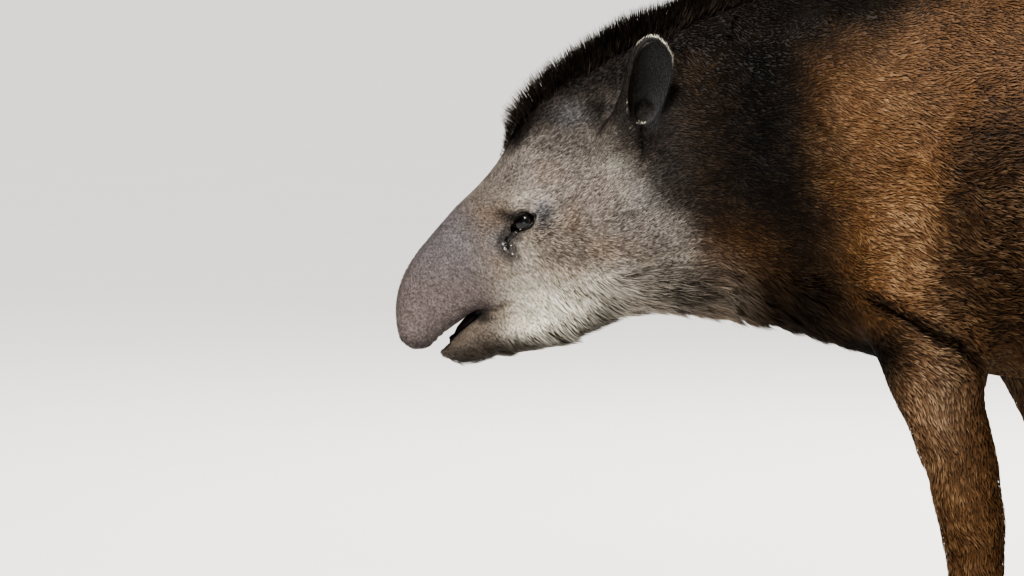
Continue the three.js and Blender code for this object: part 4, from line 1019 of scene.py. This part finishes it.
def growCoat():
    roots, normals = scatter(skinObject.data, bodyDensity, 41)
    f = folded(roots)
    head, leg, ear = inHead(roots), inLeg(roots), inEar(roots)
    count = len(roots)
    random = np.random.default_rng(42)
    under, chin = hangingHair(roots, normals)
    lift = 0.17 + 0.05 * random.random(count) + 0.30 * under + 0.25 * chin
    rim = earRim(roots, normals) * np.maximum(ear, notchZone(roots))
    length, width = coatLength(roots, head, leg, ear, under, chin, rim)
    length = length * (0.72 + 0.5 * random.random(count))
    lie = lieOf(roots, normals)
    # the damp waves lift and turn the tufts
    across = np.cross(normals, lie)
    height = ripple(roots)
    slope = (ripple(roots + across * 0.0010) - ripple(roots - across * 0.0010)) / 0.0020
    wavy = (1 - head) * (1 - ear) * (0.45 + 0.55 * rise(-0.33, -0.12, roots[:, 0])) * (1 - 0.4 * leg)
    wetted = dampness(roots)
    wave = (0.0011 + 0.0011 * wetted) * (wavy * (1 - under))
    roots = roots + normals * (wave * height)[:, None]
    normals = unit(normals - across * np.clip(wave * slope, -0.9, 0.9)[:, None])
    damp = 0.22 + 0.42 * rise(-0.30, 0.0, roots[:, 0]) * rise(0.95, 0.70, roots[:, 2]) + 0.3 * under
    damp = damp * (1 - 0.75 * head) * (1 - ear)
    black = details(roots, normals)[1]
    pull, clumpTone = clumped(roots, lie, normals, coat["clump"], damp, length, 43)
    # neighbouring markings mingle, least round eye and ear
    closeIn = blob(f, (-0.710, 0.07, 0.645), (0.045, 0.06, 0.040))
    closeIn = closeIn + blob(f, (-0.555, 0.10, 0.765), (0.030, 0.06, 0.045))
    reach = 0.020 - (0.011 + 0.005 * closeIn) * head
    mingled = roots + (random.random((count, 3)) - 0.5) * reach[:, None]
    marks = markings(mingled)
    marks[:, 0] = np.maximum(marks[:, 0] * (1 - ear), rim)
    # the ear's inside is lighter towards its back: partly its own tint, partly painted highlight
    earBack = ear * (1 - rim) * (1.0 - 0.46 * rise(-0.566, -0.532, roots[:, 0]))
    marks[:, 1] = np.maximum(marks[:, 1] * (1 - ear) + earBack, black * (1 - rim))
    tone = coatTone(roots, head, ear, marks, wetted, height, clumpTone, random.random(count))
    cool = coolAndSheen(mingled, ear) * (1 - rim)
    made = []
    for name, unwrap, slot, mine in coatPieces(roots, head, leg, ear):
        print(name, int(mine.sum()) * 5, "triangles")
        made.append(tuftPiece(name, roots[mine], normals[mine], lie[mine], length[mine], width[mine],
                              lift[mine], unwrap, droop=pull[mine], tone=tone[mine],
                              marks=marks[mine], cool=cool[mine]))
    return made

mane = {"density": 400e3, "width": 0.0014, "lift": -0.10, "grey": 0.8,
        "shares": [0.03, 0.061, 0.085, 0.114, 0.174, 0.25, 0.50, 0.70, 0.85, 1.0],
        "lengths": [0.001, 0.004, 0.012, 0.029, 0.030, 0.026, 0.027, 0.023, 0.014, 0.007],
        "halfShares": [0.05, 0.114, 0.3, 0.7, 0.95], "halfWidths": [0.012, 0.026, 0.040, 0.040, 0.024]}

def acrossMane(p, share):  # 0 on the ridge of the crest, 1 at the mane's edge
    return np.abs(p[:, 1]) / np.interp(share, mane["halfShares"], mane["halfWidths"])

def maneDensity(c, n):
    high, share, out = aboveCrest(c)
    zone = rise(1.0, 0.45, acrossMane(c, share)) * (high > -0.06) * ((n * out).sum(1) > 0.05)
    return mane["density"] * zone * rise(0.040, 0.095, share) * rise(1.0, 0.90, share)

def growMane():
    roots, normals = scatter(skinObject.data, maneDensity, 51)
    _, share, out = aboveCrest(roots)
    count = len(roots)
    random = np.random.default_rng(52)
    along = columns(out[:, 2], 0, -out[:, 0])
    outer = acrossMane(roots, share)
    length = np.interp(share, mane["shares"], mane["lengths"]) * (0.58 + 0.55 * random.random(count) ** 1.5)
    length = length * (1 - 0.55 * rise(0.25, 1.0, outer)) + 0.003
    sprawl = (random.random((count, 3)) - 0.5) * (0.30, 0.42, 0.30)
    tufted = softSway(roots, 0.012, (53, 54, 55)) * (0.5, 0.5, 0.3)
    lean = 0.40 + 0.40 * rise(0.3, 0.8, share) + 0.75 * rise(0.3, 1.0, outer)
    aim = unit(out + along * lean[:, None] + normals * (0, 0.55, 0) + sprawl + tufted)
    flat = unit(along - aim * (along * aim).sum(1, keepdims=True))
    dark = 0.88 - 0.45 * rise(0.86, 0.97, share) - 0.26 * random.random(count)
    print("mane", count * 5, "triangles")
    return tuftPiece("coat_mane", roots, flat, aim, length, mane["width"], mane["lift"], alongCrest,
                     sink=0, marks=columns(0, dark, mane["grey"], 0))

lashes = {"count": 110, "width": 0.00045, "lift": -0.25, "shortest": 0.0045, "longer": 0.0030}

def growLashes():
    random = np.random.default_rng(71)
    roots, normals, aims = [], [], []
    for side in (-1, 1):
        centre, gaze, along, upwards = eyeFrame(side)
        for _ in range(lashes["count"]):
            a = eye["half"] * (random.random() * 1.1 - 0.65)
            bow = max(0, 1 - (a / eye["half"]) ** 2) ** 0.75
            b = eye["upper"] * bow + 0.0012 + 0.0012 * random.random()
            depth = math.sqrt(max(eye["radius"] ** 2 - a * a - b * b, 1e-6)) + 0.0016
            roots.append(centre + along * a + upwards * b + gaze * depth)
            aim = gaze * 0.8 - upwards * 0.35 - along * (0.25 - 0.5 * a / eye["half"])
            aims.append(unit(aim + (random.random(3) - 0.5) * 0.35))
            normals.append(upwards)
    roots, normals, aims = (np.array(v) for v in (roots, normals, aims))
    normals = unit(normals - aims * (normals * aims).sum(1, keepdims=True))
    count = len(roots)
    length = lashes["shortest"] + lashes["longer"] * random.random(count)
    black = np.tile((0, 1, 0, 0), (count, 1))
    return tuftPiece("coat_lashes", roots, normals, aims, length, lashes["width"], lashes["lift"], aroundHead,
                     sink=0, marks=black)

coatObjects = growCoat() + [growLashes(), growMane()]
print("coat made")

# eyes: a dark wet ball with its cornea standing a little proud
ball = {"rows": 40, "columns": 48, "cornea": 0.0007, "corneaReach": 0.55}

def makeEye(side, end):
    centre, gaze, along, upwards = eyeFrame(side)
    rows, around = ball["rows"], ball["columns"]
    verts, faces = [], []
    for i in range(rows + 1):
        polar = math.pi * i / rows
        r = eye["radius"] + ball["cornea"] * math.exp(-((polar / ball["corneaReach"]) ** 2))
        for j in range(around):
            turn = 2 * math.pi * j / around
            out = (along * math.cos(turn) + upwards * math.sin(turn)) * r * math.sin(polar)
            verts.append(tuple(centre + gaze * r * math.cos(polar) + out))
    for i in range(rows):
        for j in range(around):
            k = (j + 1) % around
            faces.append((i * around + j, (i + 1) * around + j, (i + 1) * around + k, i * around + k))
    mesh = bpy.data.meshes.new("eyeball_" + end)
    mesh.from_pydata(verts, [], faces)
    bm = opened(mesh)
    bmesh.ops.remove_doubles(bm, verts=bm.verts, dist=1e-6)
    bmesh.ops.recalc_face_normals(bm, faces=bm.faces)
    closed(bm, mesh)
    p = pointsOf(mesh) - centre
    place = columns(p @ along, p @ upwards, p @ gaze) / eye["radius"] * 0.5 + 0.5
    storeColours(mesh, "place", np.c_[place, np.ones(len(p))])
    mesh.shade_smooth()
    obj = addObject("eyeball_" + end, mesh)
    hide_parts("eye_" + end)
    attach(obj, "root")
    return obj

eyeObjects = [makeEye(-1, "left"), makeEye(1, "right")]

# tongue and gums, coloured near black as painted shade, so that the gap between the lips reads as a dark wet
# hollow
tongue = {"line": [(-0.8025, 0.4865), (-0.793, 0.4955), (-0.778, 0.5075), (-0.762, 0.5175), (-0.745, 0.5230),
                   (-0.728, 0.5250)],
          "wide": [0.005, 0.012, 0.015, 0.014, 0.012, 0.010],
          "thick": [0.003, 0.0085, 0.0125, 0.0130, 0.0110, 0.008],
          "around": 28, "steps": 30, "furrow": 0.0016, "furrowHalf": 0.003}

def makeTongue():
    around, steps = tongue["around"], tongue["steps"]
    at = np.linspace(0, 5, steps)
    line = np.array(tongue["line"])
    spot = np.stack([np.interp(at, range(6), line[:, k]) for k in (0, 1)], 1)
    wide, thick = (np.interp(at, range(6), tongue[k]) for k in ("wide", "thick"))
    ways = unit(np.gradient(spot, axis=0))
    verts, faces = [], []
    for (x, z), (wx, wz), w, t in zip(spot, ways, wide, thick):
        for k in range(around):
            turn = 2 * math.pi * k / around
            y = w * math.cos(turn)
            furrow = tongue["furrow"] * max(0, math.sin(turn)) * math.exp(-((y / tongue["furrowHalf"]) ** 2))
            up = t * math.sin(turn) - furrow
            verts.append((x - wz * up, y, z + wx * up))
    for i in range(steps - 1):
        for k in range(around):
            a, b = i * around + k, i * around + (k + 1) % around
            faces.append((a, b, b + around, a + around))
    faces += [tuple(range(around))[::-1], tuple(range((steps - 1) * around, steps * around))]
    mesh = bpy.data.meshes.new("tongue")
    mesh.from_pydata(verts, [], faces)
    bm = opened(mesh)
    bmesh.ops.recalc_face_normals(bm, faces=bm.faces)
    closed(bm, mesh)
    mesh.shade_smooth()
    obj = addObject("tongue", mesh)
    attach(obj, "root")
    return obj

tongueObject = makeTongue()

# hooves: the solids rounded, with fine growth rings
hoof = {"voxel": 0.0015, "smoothing": 14, "ringStep": 0.0052, "ringHeight": 0.00022}

def makeHoof(name):
    obj = addObject(name + "_raw", welded(name, 1e-6))
    step = obj.modifiers.new("voxels", "REMESH")
    step.mode, step.voxel_size = "VOXEL", hoof["voxel"]
    mesh = evaluated(obj)
    p = pointsOf(mesh)
    low = p[:, 2].min()
    p = relax(p, edgesOf(mesh), hoof["smoothing"], np.ones(len(p)))
    n = normalsOf(mesh)
    ring = np.sin(p[:, 2] * 2 * np.pi / hoof["ringStep"] + 2 * softNoise(p, 0.02, 61)) * hoof["ringHeight"]
    p = p + n * (ring * (n[:, 2] > -0.6))[:, None]
    p[:, 2] = np.maximum(p[:, 2], low + 0.0002)
    setPoints(mesh, p)
    mesh.shade_smooth()
    mesh.name = name + "_horn"
    obj = addObject(name + "_horn", mesh)
    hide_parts(name)
    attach(obj, "root")
    return obj

hoofObjects = [makeHoof(name) for name in sorted(n for n in nodes if "hoof" in n)]
print("hooves made")

# the skin carries the same markings as the coat, with its wet places
def markSkin():
    mesh = skinObject.data
    p, n = pointsOf(mesh), normalsOf(mesh)
    marks = markings(p)
    wet, black = details(p, n)
    fromWart = np.linalg.norm(folded(p)[:, [0, 2]] - wartSpot, axis=1)
    wart = np.exp(-((fromWart / 0.005) ** 2)) * (np.abs(p[:, 1]) > 0.05)
    ear = inEar(p)
    rim = earRim(p, n) * np.maximum(ear, notchZone(p))
    marks[:, 0] = np.maximum(marks[:, 0] * (1 - ear), rim)
    spots = np.maximum(black * (1 - rim), wart * 0.45)
    marks[:, 1] = np.maximum(marks[:, 1] * (1 - ear) + ear * (1 - rim) * 0.9, spots)
    storeColours(mesh, "marks", marks)
    storeColours(mesh, "strand", columns(0.5, 0.35, softNoise(p, 0.012, 31), coolAndSheen(p, ear) * (1 - rim)))
    storeColours(mesh, "wetness", columns(wet, inHead(p) * (1 - ear), inLeg(p), 1))

markSkin()

# helpers for materials
def newGroup(name, inputs, outputs):
    group = bpy.data.node_groups.new(name, "ShaderNodeTree")
    for label, kind, value in inputs:
        socket = group.interface.new_socket(label, in_out="INPUT", socket_type=kind)
        socket.default_value = value
    for label, kind in outputs:
        group.interface.new_socket(label, in_out="OUTPUT", socket_type=kind)
    return group, group.nodes.new("NodeGroupInput"), group.nodes.new("NodeGroupOutput")

def newMaterial(name, finish):
    material = bpy.data.materials.new(name)
    material.use_nodes = True
    shader = material.node_tree.nodes["Principled BSDF"]
    setInputs(shader, finish)
    return material, material.node_tree, shader

def setInputs(node, values):
    for label, value in values.items():
        node.inputs[label].default_value = value

def connect(tree, value, socket):
    if isinstance(value, bpy.types.NodeSocket):
        tree.links.new(value, socket)
    else:
        socket.default_value = value

def mixColour(tree, factor, a, b):
    node = tree.nodes.new("ShaderNodeMix")
    node.data_type = "RGBA"
    connect(tree, factor, node.inputs[0])
    connect(tree, a, node.inputs[6])
    connect(tree, b, node.inputs[7])
    return node.outputs[2]

def maths(tree, operation, a, b):
    node = tree.nodes.new("ShaderNodeMath")
    node.operation = operation
    connect(tree, a, node.inputs[0])
    connect(tree, b, node.inputs[1])
    return node.outputs[0]

def vectorMaths(tree, operation, value):
    node = tree.nodes.new("ShaderNodeVectorMath")
    node.operation = operation
    tree.links.new(value, node.inputs[0])
    return node

def swing(tree, value, amount):  # a value from 0 to 1 made a swing round 0
    return maths(tree, "MULTIPLY", maths(tree, "SUBTRACT", value, 0.5), amount)

def ranged(tree, value, low, high, newLow=0.0, newHigh=1.0):
    node = tree.nodes.new("ShaderNodeMapRange")
    node.interpolation_type = "SMOOTHSTEP"
    for k, v in enumerate((value, low, high, newLow, newHigh)):
        connect(tree, v, node.inputs[k])
    return node.outputs[0]

def noiseNode(tree, scale, detail, stretch=(1, 1, 1)):
    place = tree.nodes.new("ShaderNodeTexCoord")
    mapping = tree.nodes.new("ShaderNodeMapping")
    node = tree.nodes.new("ShaderNodeTexNoise")
    setInputs(mapping, {"Scale": stretch})
    setInputs(node, {"Scale": scale, "Detail": detail, "Roughness": 0.55})
    tree.links.new(place.outputs["Object"], mapping.inputs["Vector"])
    tree.links.new(mapping.outputs["Vector"], node.inputs["Vector"])
    return node.outputs["Fac"]

def attributeNode(tree, name):
    node = tree.nodes.new("ShaderNodeAttribute")
    node.attribute_name = name
    return node

def separated(tree, colour):
    parts = tree.nodes.new("ShaderNodeSeparateColor")
    tree.links.new(colour, parts.inputs[0])
    return [parts.outputs[k] for k in range(3)]

def placedGroup(tree, group):
    node = tree.nodes.new("ShaderNodeGroup")
    node.node_tree = group
    return node

def addBump(tree, shader, height, values):
    bump = tree.nodes.new("ShaderNodeBump")
    setInputs(bump, values)
    tree.links.new(height, bump.inputs["Height"])
    tree.links.new(bump.outputs["Normal"], shader.inputs["Normal"])

# colours of hair and hide: deep, middle and light shades of each
colours = {
    "brown": [(0.014, 0.0065, 0.003, 1), (0.098, 0.0480, 0.0195, 1), (0.222, 0.138, 0.071, 1)],
    "grey": [(0.036, 0.029, 0.024, 1), (0.135, 0.110, 0.090, 1), (0.330, 0.282, 0.238, 1)],
    "pale": [(0.150, 0.126, 0.090, 1), (0.600, 0.560, 0.470, 1), (0.870, 0.840, 0.750, 1)],
    "trunk": [(0.034, 0.027, 0.027, 1), (0.112, 0.090, 0.085, 1), (0.250, 0.205, 0.192, 1)],
    # slate: the bluish grey of the cool marks, partly painted sheen
    "slateSheen": [(0.029, 0.031, 0.035, 1), (0.112, 0.116, 0.126, 1), (0.290, 0.300, 0.320, 1)],
    # black: dark hair, and the painted shade of folds, hollows, mouth and nostril
    "black": [(0.0040, 0.0030, 0.0022, 1), (0.0040, 0.0030, 0.0022, 1), (0.024, 0.017, 0.012, 1)],
}

def coatColourGroup():
    number = "NodeSocketFloat"
    inputs = [("Marks", "NodeSocketColor", (0, 0, 0, 1)), ("Bare", number, 0.0), ("Cool", number, 0.0),
              ("Tone", number, 0.5), ("Tip", number, 0.5), ("Clump", number, 0.5)]
    group, start, end = newGroup("coatColour", inputs, [("Color", "NodeSocketColor")])
    pale, dark, grey = separated(group, start.outputs["Marks"])
    broad = ranged(group, noiseNode(group, 9, 3), 0.35, 0.68)
    hair = maths(group, "MULTIPLY", start.outputs["Tone"], 0.74)
    # hair is darker at the root and lighter at the tip: partly its own colour, partly painted shade deep in
    # the coat
    lightness = maths(group, "ADD", hair, maths(group, "MULTIPLY", start.outputs["Tip"], 0.40))
    lightness = maths(group, "ADD", lightness, swing(group, start.outputs["Clump"], 0.14))
    lightness = maths(group, "ADD", lightness, swing(group, broad, 0.16))
    def shades(name):
        deep, middle, light = colours[name]
        first = mixColour(group, ranged(group, lightness, 0.05, 0.55), deep, middle)
        return mixColour(group, ranged(group, lightness, 0.55, 1.10), first, light)
    colour = shades("brown")
    bare, cool = start.outputs["Bare"], start.outputs["Cool"]
    for share, name in ((grey, "grey"), (pale, "pale"), (bare, "trunk"), (cool, "slateSheen"), (dark, "black")):
        colour = mixColour(group, share, colour, shades(name))
    group.links.new(colour, end.inputs["Color"])
    return group

def grainGroup():
    number = "NodeSocketFloat"
    inputs = [("Fine", number, 0.5), ("Streaks", number, 0.5), ("Upright", number, 0.0)]
    group, start, end = newGroup("hairGrain", inputs, [("Height", number)])
    fine = maths(group, "MULTIPLY", noiseNode(group, 900, 2), start.outputs["Fine"])
    blend = group.nodes.new("ShaderNodeMix")
    group.links.new(start.outputs["Upright"], blend.inputs[0])
    group.links.new(noiseNode(group, 420, 2, (0.16, 1, 1)), blend.inputs[2])
    group.links.new(noiseNode(group, 420, 2, (1, 1, 0.16)), blend.inputs[3])
    streaks = maths(group, "MULTIPLY", blend.outputs[0], start.outputs["Streaks"])
    group.links.new(maths(group, "ADD", fine, streaks), end.inputs["Height"])
    return group

coatColour = coatColourGroup()
hairGrain = grainGroup()

def placeCoatColour(tree):
    marks, strand = attributeNode(tree, "marks"), attributeNode(tree, "strand")
    parts = separated(tree, strand.outputs["Color"])
    colour = placedGroup(tree, coatColour)
    tree.links.new(marks.outputs["Color"], colour.inputs["Marks"])
    tree.links.new(marks.outputs["Alpha"], colour.inputs["Bare"])
    tree.links.new(strand.outputs["Alpha"], colour.inputs["Cool"])
    for k, label in enumerate(("Tone", "Tip", "Clump")):
        tree.links.new(parts[k], colour.inputs[label])
    return colour.outputs["Color"]

coatFinish = {"Roughness": 0.52, "Specular IOR Level": 0.11}

def coatMaterial():
    material, tree, shader = newMaterial("coatHair", coatFinish)
    tree.links.new(placeCoatColour(tree), shader.inputs["Base Color"])
    return material

skinFinish = {"Coat Roughness": 0.08, "Specular IOR Level": 0.25}
skinGrain = {"Fine": 0.5, "Streaks": 0.8}
skinBump = {"Strength": 0.55, "Distance": 0.0012}

def skinMaterial():
    material, tree, shader = newMaterial("hideSkin", skinFinish)
    wet, _, leg = separated(tree, attributeNode(tree, "wetness").outputs["Color"])
    speckle = ranged(tree, noiseNode(tree, 330, 3), 0.34, 0.66, 0.60, 1.30)
    shaded = vectorMaths(tree, "SCALE", placeCoatColour(tree))
    tree.links.new(speckle, shaded.inputs["Scale"])
    tree.links.new(shaded.outputs[0], shader.inputs["Base Color"])
    tree.links.new(ranged(tree, wet, 0.2, 0.9, 0.62, 0.24), shader.inputs["Roughness"])
    tree.links.new(ranged(tree, wet, 0.4, 1.0, 0.0, 0.35), shader.inputs["Coat Weight"])
    grain = placedGroup(tree, hairGrain)
    setInputs(grain, skinGrain)
    tree.links.new(leg, grain.inputs["Upright"])
    addBump(tree, shader, grain.outputs["Height"], skinBump)
    return material

eyeFinish = {"Roughness": 0.30, "Specular IOR Level": 0.12, "Coat Weight": 0.80, "Coat Roughness": 0.02}
eyeColours = [  # distance from the middle of the gaze, in radii, and colour
    (0.0, (0.002, 0.002, 0.003, 1)), (0.75, (0.010, 0.007, 0.006, 1)), (0.26, (0.002, 0.002, 0.002, 1)),
    (0.31, (0.011, 0.006, 0.003, 1)), (0.50, (0.008, 0.004, 0.002, 1)), (0.56, (0.003, 0.002, 0.002, 1)),
]
eyeStreak = (0.004, 0.003, 0.003, 1)

def eyeMaterial():
    material, tree, shader = newMaterial("eyeWet", eyeFinish)
    middle = vectorMaths(tree, "SUBTRACT", attributeNode(tree, "place").outputs["Color"])
    middle.inputs[1].default_value = (0.5, 0.5, 0.5)
    flat = vectorMaths(tree, "MULTIPLY", middle.outputs[0])
    flat.inputs[1].default_value = (2, 2, 0)
    far = vectorMaths(tree, "LENGTH", flat.outputs[0])
    ramp = tree.nodes.new("ShaderNodeValToRGB")
    stops = ramp.color_ramp.elements
    for stop, (position, colour) in zip(stops, eyeColours):
        stop.position, stop.color = position, colour
    for position, colour in eyeColours[2:]:
        stops.new(position).color = colour
    tree.links.new(far.outputs["Value"], ramp.inputs[0])
    streaks = ranged(tree, noiseNode(tree, 700, 2), 0.4, 0.7, 0, 0.4)
    tree.links.new(mixColour(tree, streaks, ramp.outputs[0], eyeStreak), shader.inputs["Base Color"])
    return material

tongueFinish = {"Roughness": 0.38}
# near black: the painted shade of the mouth's hollow
tongueInShadeColours = ((0.014, 0.008, 0.007, 1), (0.040, 0.020, 0.017, 1))

def tongueMaterial():
    material, tree, shader = newMaterial("tongueWet", tongueFinish)
    blotch = ranged(tree, noiseNode(tree, 220, 3), 0.3, 0.7)
    tree.links.new(mixColour(tree, blotch, *tongueInShadeColours), shader.inputs["Base Color"])
    addBump(tree, shader, noiseNode(tree, 900, 2), {"Strength": 0.4, "Distance": 0.0005})
    return material

hornColours = ((0.018, 0.014, 0.011, 1), (0.070, 0.056, 0.043, 1))
wornHorn = (0.20, 0.17, 0.13, 1)

def hornMaterial():  # streaked lengthwise and worn pale at the sole's edge
    material, tree, shader = newMaterial("hoofHorn", {})
    streaks = noiseNode(tree, 160, 4, (1, 1, 0.12))
    blotch = noiseNode(tree, 45, 3)
    dark = mixColour(tree, ranged(tree, streaks, 0.3, 0.7), *hornColours)
    split = tree.nodes.new("ShaderNodeSeparateXYZ")
    tree.links.new(tree.nodes.new("ShaderNodeTexCoord").outputs["Object"], split.inputs[0])
    low = ranged(tree, split.outputs["Z"], 0.012, 0.001)
    worn = maths(tree, "MULTIPLY", low, ranged(tree, blotch, 0.35, 0.6, 0.25, 0.9))
    tree.links.new(mixColour(tree, worn, dark, wornHorn), shader.inputs["Base Color"])
    tree.links.new(ranged(tree, blotch, 0.3, 0.7, 0.38, 0.62), shader.inputs["Roughness"])
    addBump(tree, shader, streaks, {"Strength": 0.5, "Distance": 0.0006})
    return material

def giveFinish(objects, material):
    for obj in objects:
        obj.data.materials.clear()
        obj.data.materials.append(material)

giveFinish(coatObjects, coatMaterial())
giveFinish([skinObject], skinMaterial())
giveFinish(eyeObjects, eyeMaterial())
giveFinish(hoofObjects, hornMaterial())
giveFinish([tongueObject], tongueMaterial())
print("materials made")

# floor and lights
studio = {"floorSize": 90, "floorColour": (0.70, 0.695, 0.68, 1), "floorShade": 0.965,
          "sky": (0.80, 0.84, 0.90, 1), "skyStrength": 0.26,
          "sun": 4.60, "sunAngle": 16, "sunColour": (1.0, 0.97, 0.92), "sunFrom": (-0.35, -0.75, 1.15)}
lamps = {  # place, what it lights, size, power and colour
    "fill": ((3.2, -4.5, 2.2), (0.2, 0, 0.6), 3.0, 34, (0.92, 0.96, 1.0)),
    "catch": ((-1.35, -2.95, 3.77), (-0.7, 0, 0.65), 0.80, 120, (1, 1, 1)),
    "low": ((-2.0, -4.3, 0.45), (-0.7, 0, 0.5), 2.0, 18, (0.96, 0.98, 1.0)),
    "rim": ((1.2, 3.6, 3.8), (-0.2, 0, 0.8), 2.4, 260, (1.0, 0.98, 0.95)),
}

def makeFloor():
    mesh = bpy.data.meshes.new("floor")
    size = studio["floorSize"]
    turns = np.linspace(0, 2 * math.pi, 96, endpoint=False)
    rim = [(size * math.cos(a), size * math.sin(a), 0) for a in turns]
    mesh.from_pydata(rim, [], [tuple(range(len(rim)))])
    obj = addObject("floor", mesh)
    material, tree, shader = newMaterial("studioFloor", {"Roughness": 0.8})
    colour = studio["floorColour"]
    shaded = tuple(v * studio["floorShade"] for v in colour[:3]) + (1,)
    tree.links.new(mixColour(tree, noiseNode(tree, 2.2, 3), colour, shaded), shader.inputs["Base Color"])
    mesh.materials.append(material)

def addLamp(name, data, spot, target):
    obj = bpy.data.objects.new(name, data)
    scene.collection.objects.link(obj)
    obj.location = spot
    obj.rotation_euler = (Vector(target) - Vector(spot)).to_track_quat("-Z", "Y").to_euler()

def makeLights():
    sun = bpy.data.lights.new("key", "SUN")
    sun.energy, sun.angle, sun.color = studio["sun"], math.radians(studio["sunAngle"]), studio["sunColour"]
    addLamp("key", sun, studio["sunFrom"], (0, 0, 0))
    for name, (spot, target, size, power, colour) in lamps.items():
        data = bpy.data.lights.new(name, "AREA")
        data.shape, data.size, data.energy, data.color = "DISK", size, power, colour
        addLamp(name, data, spot, target)
    world = bpy.data.worlds.new("studio")
    world.use_nodes = True
    sky = {"Color": studio["sky"], "Strength": studio["skyStrength"]}
    setInputs(world.node_tree.nodes["Background"], sky)
    scene.world = world

makeFloor()
makeLights()
scene.view_settings.look = "AgX - High Contrast"
print("studio made")
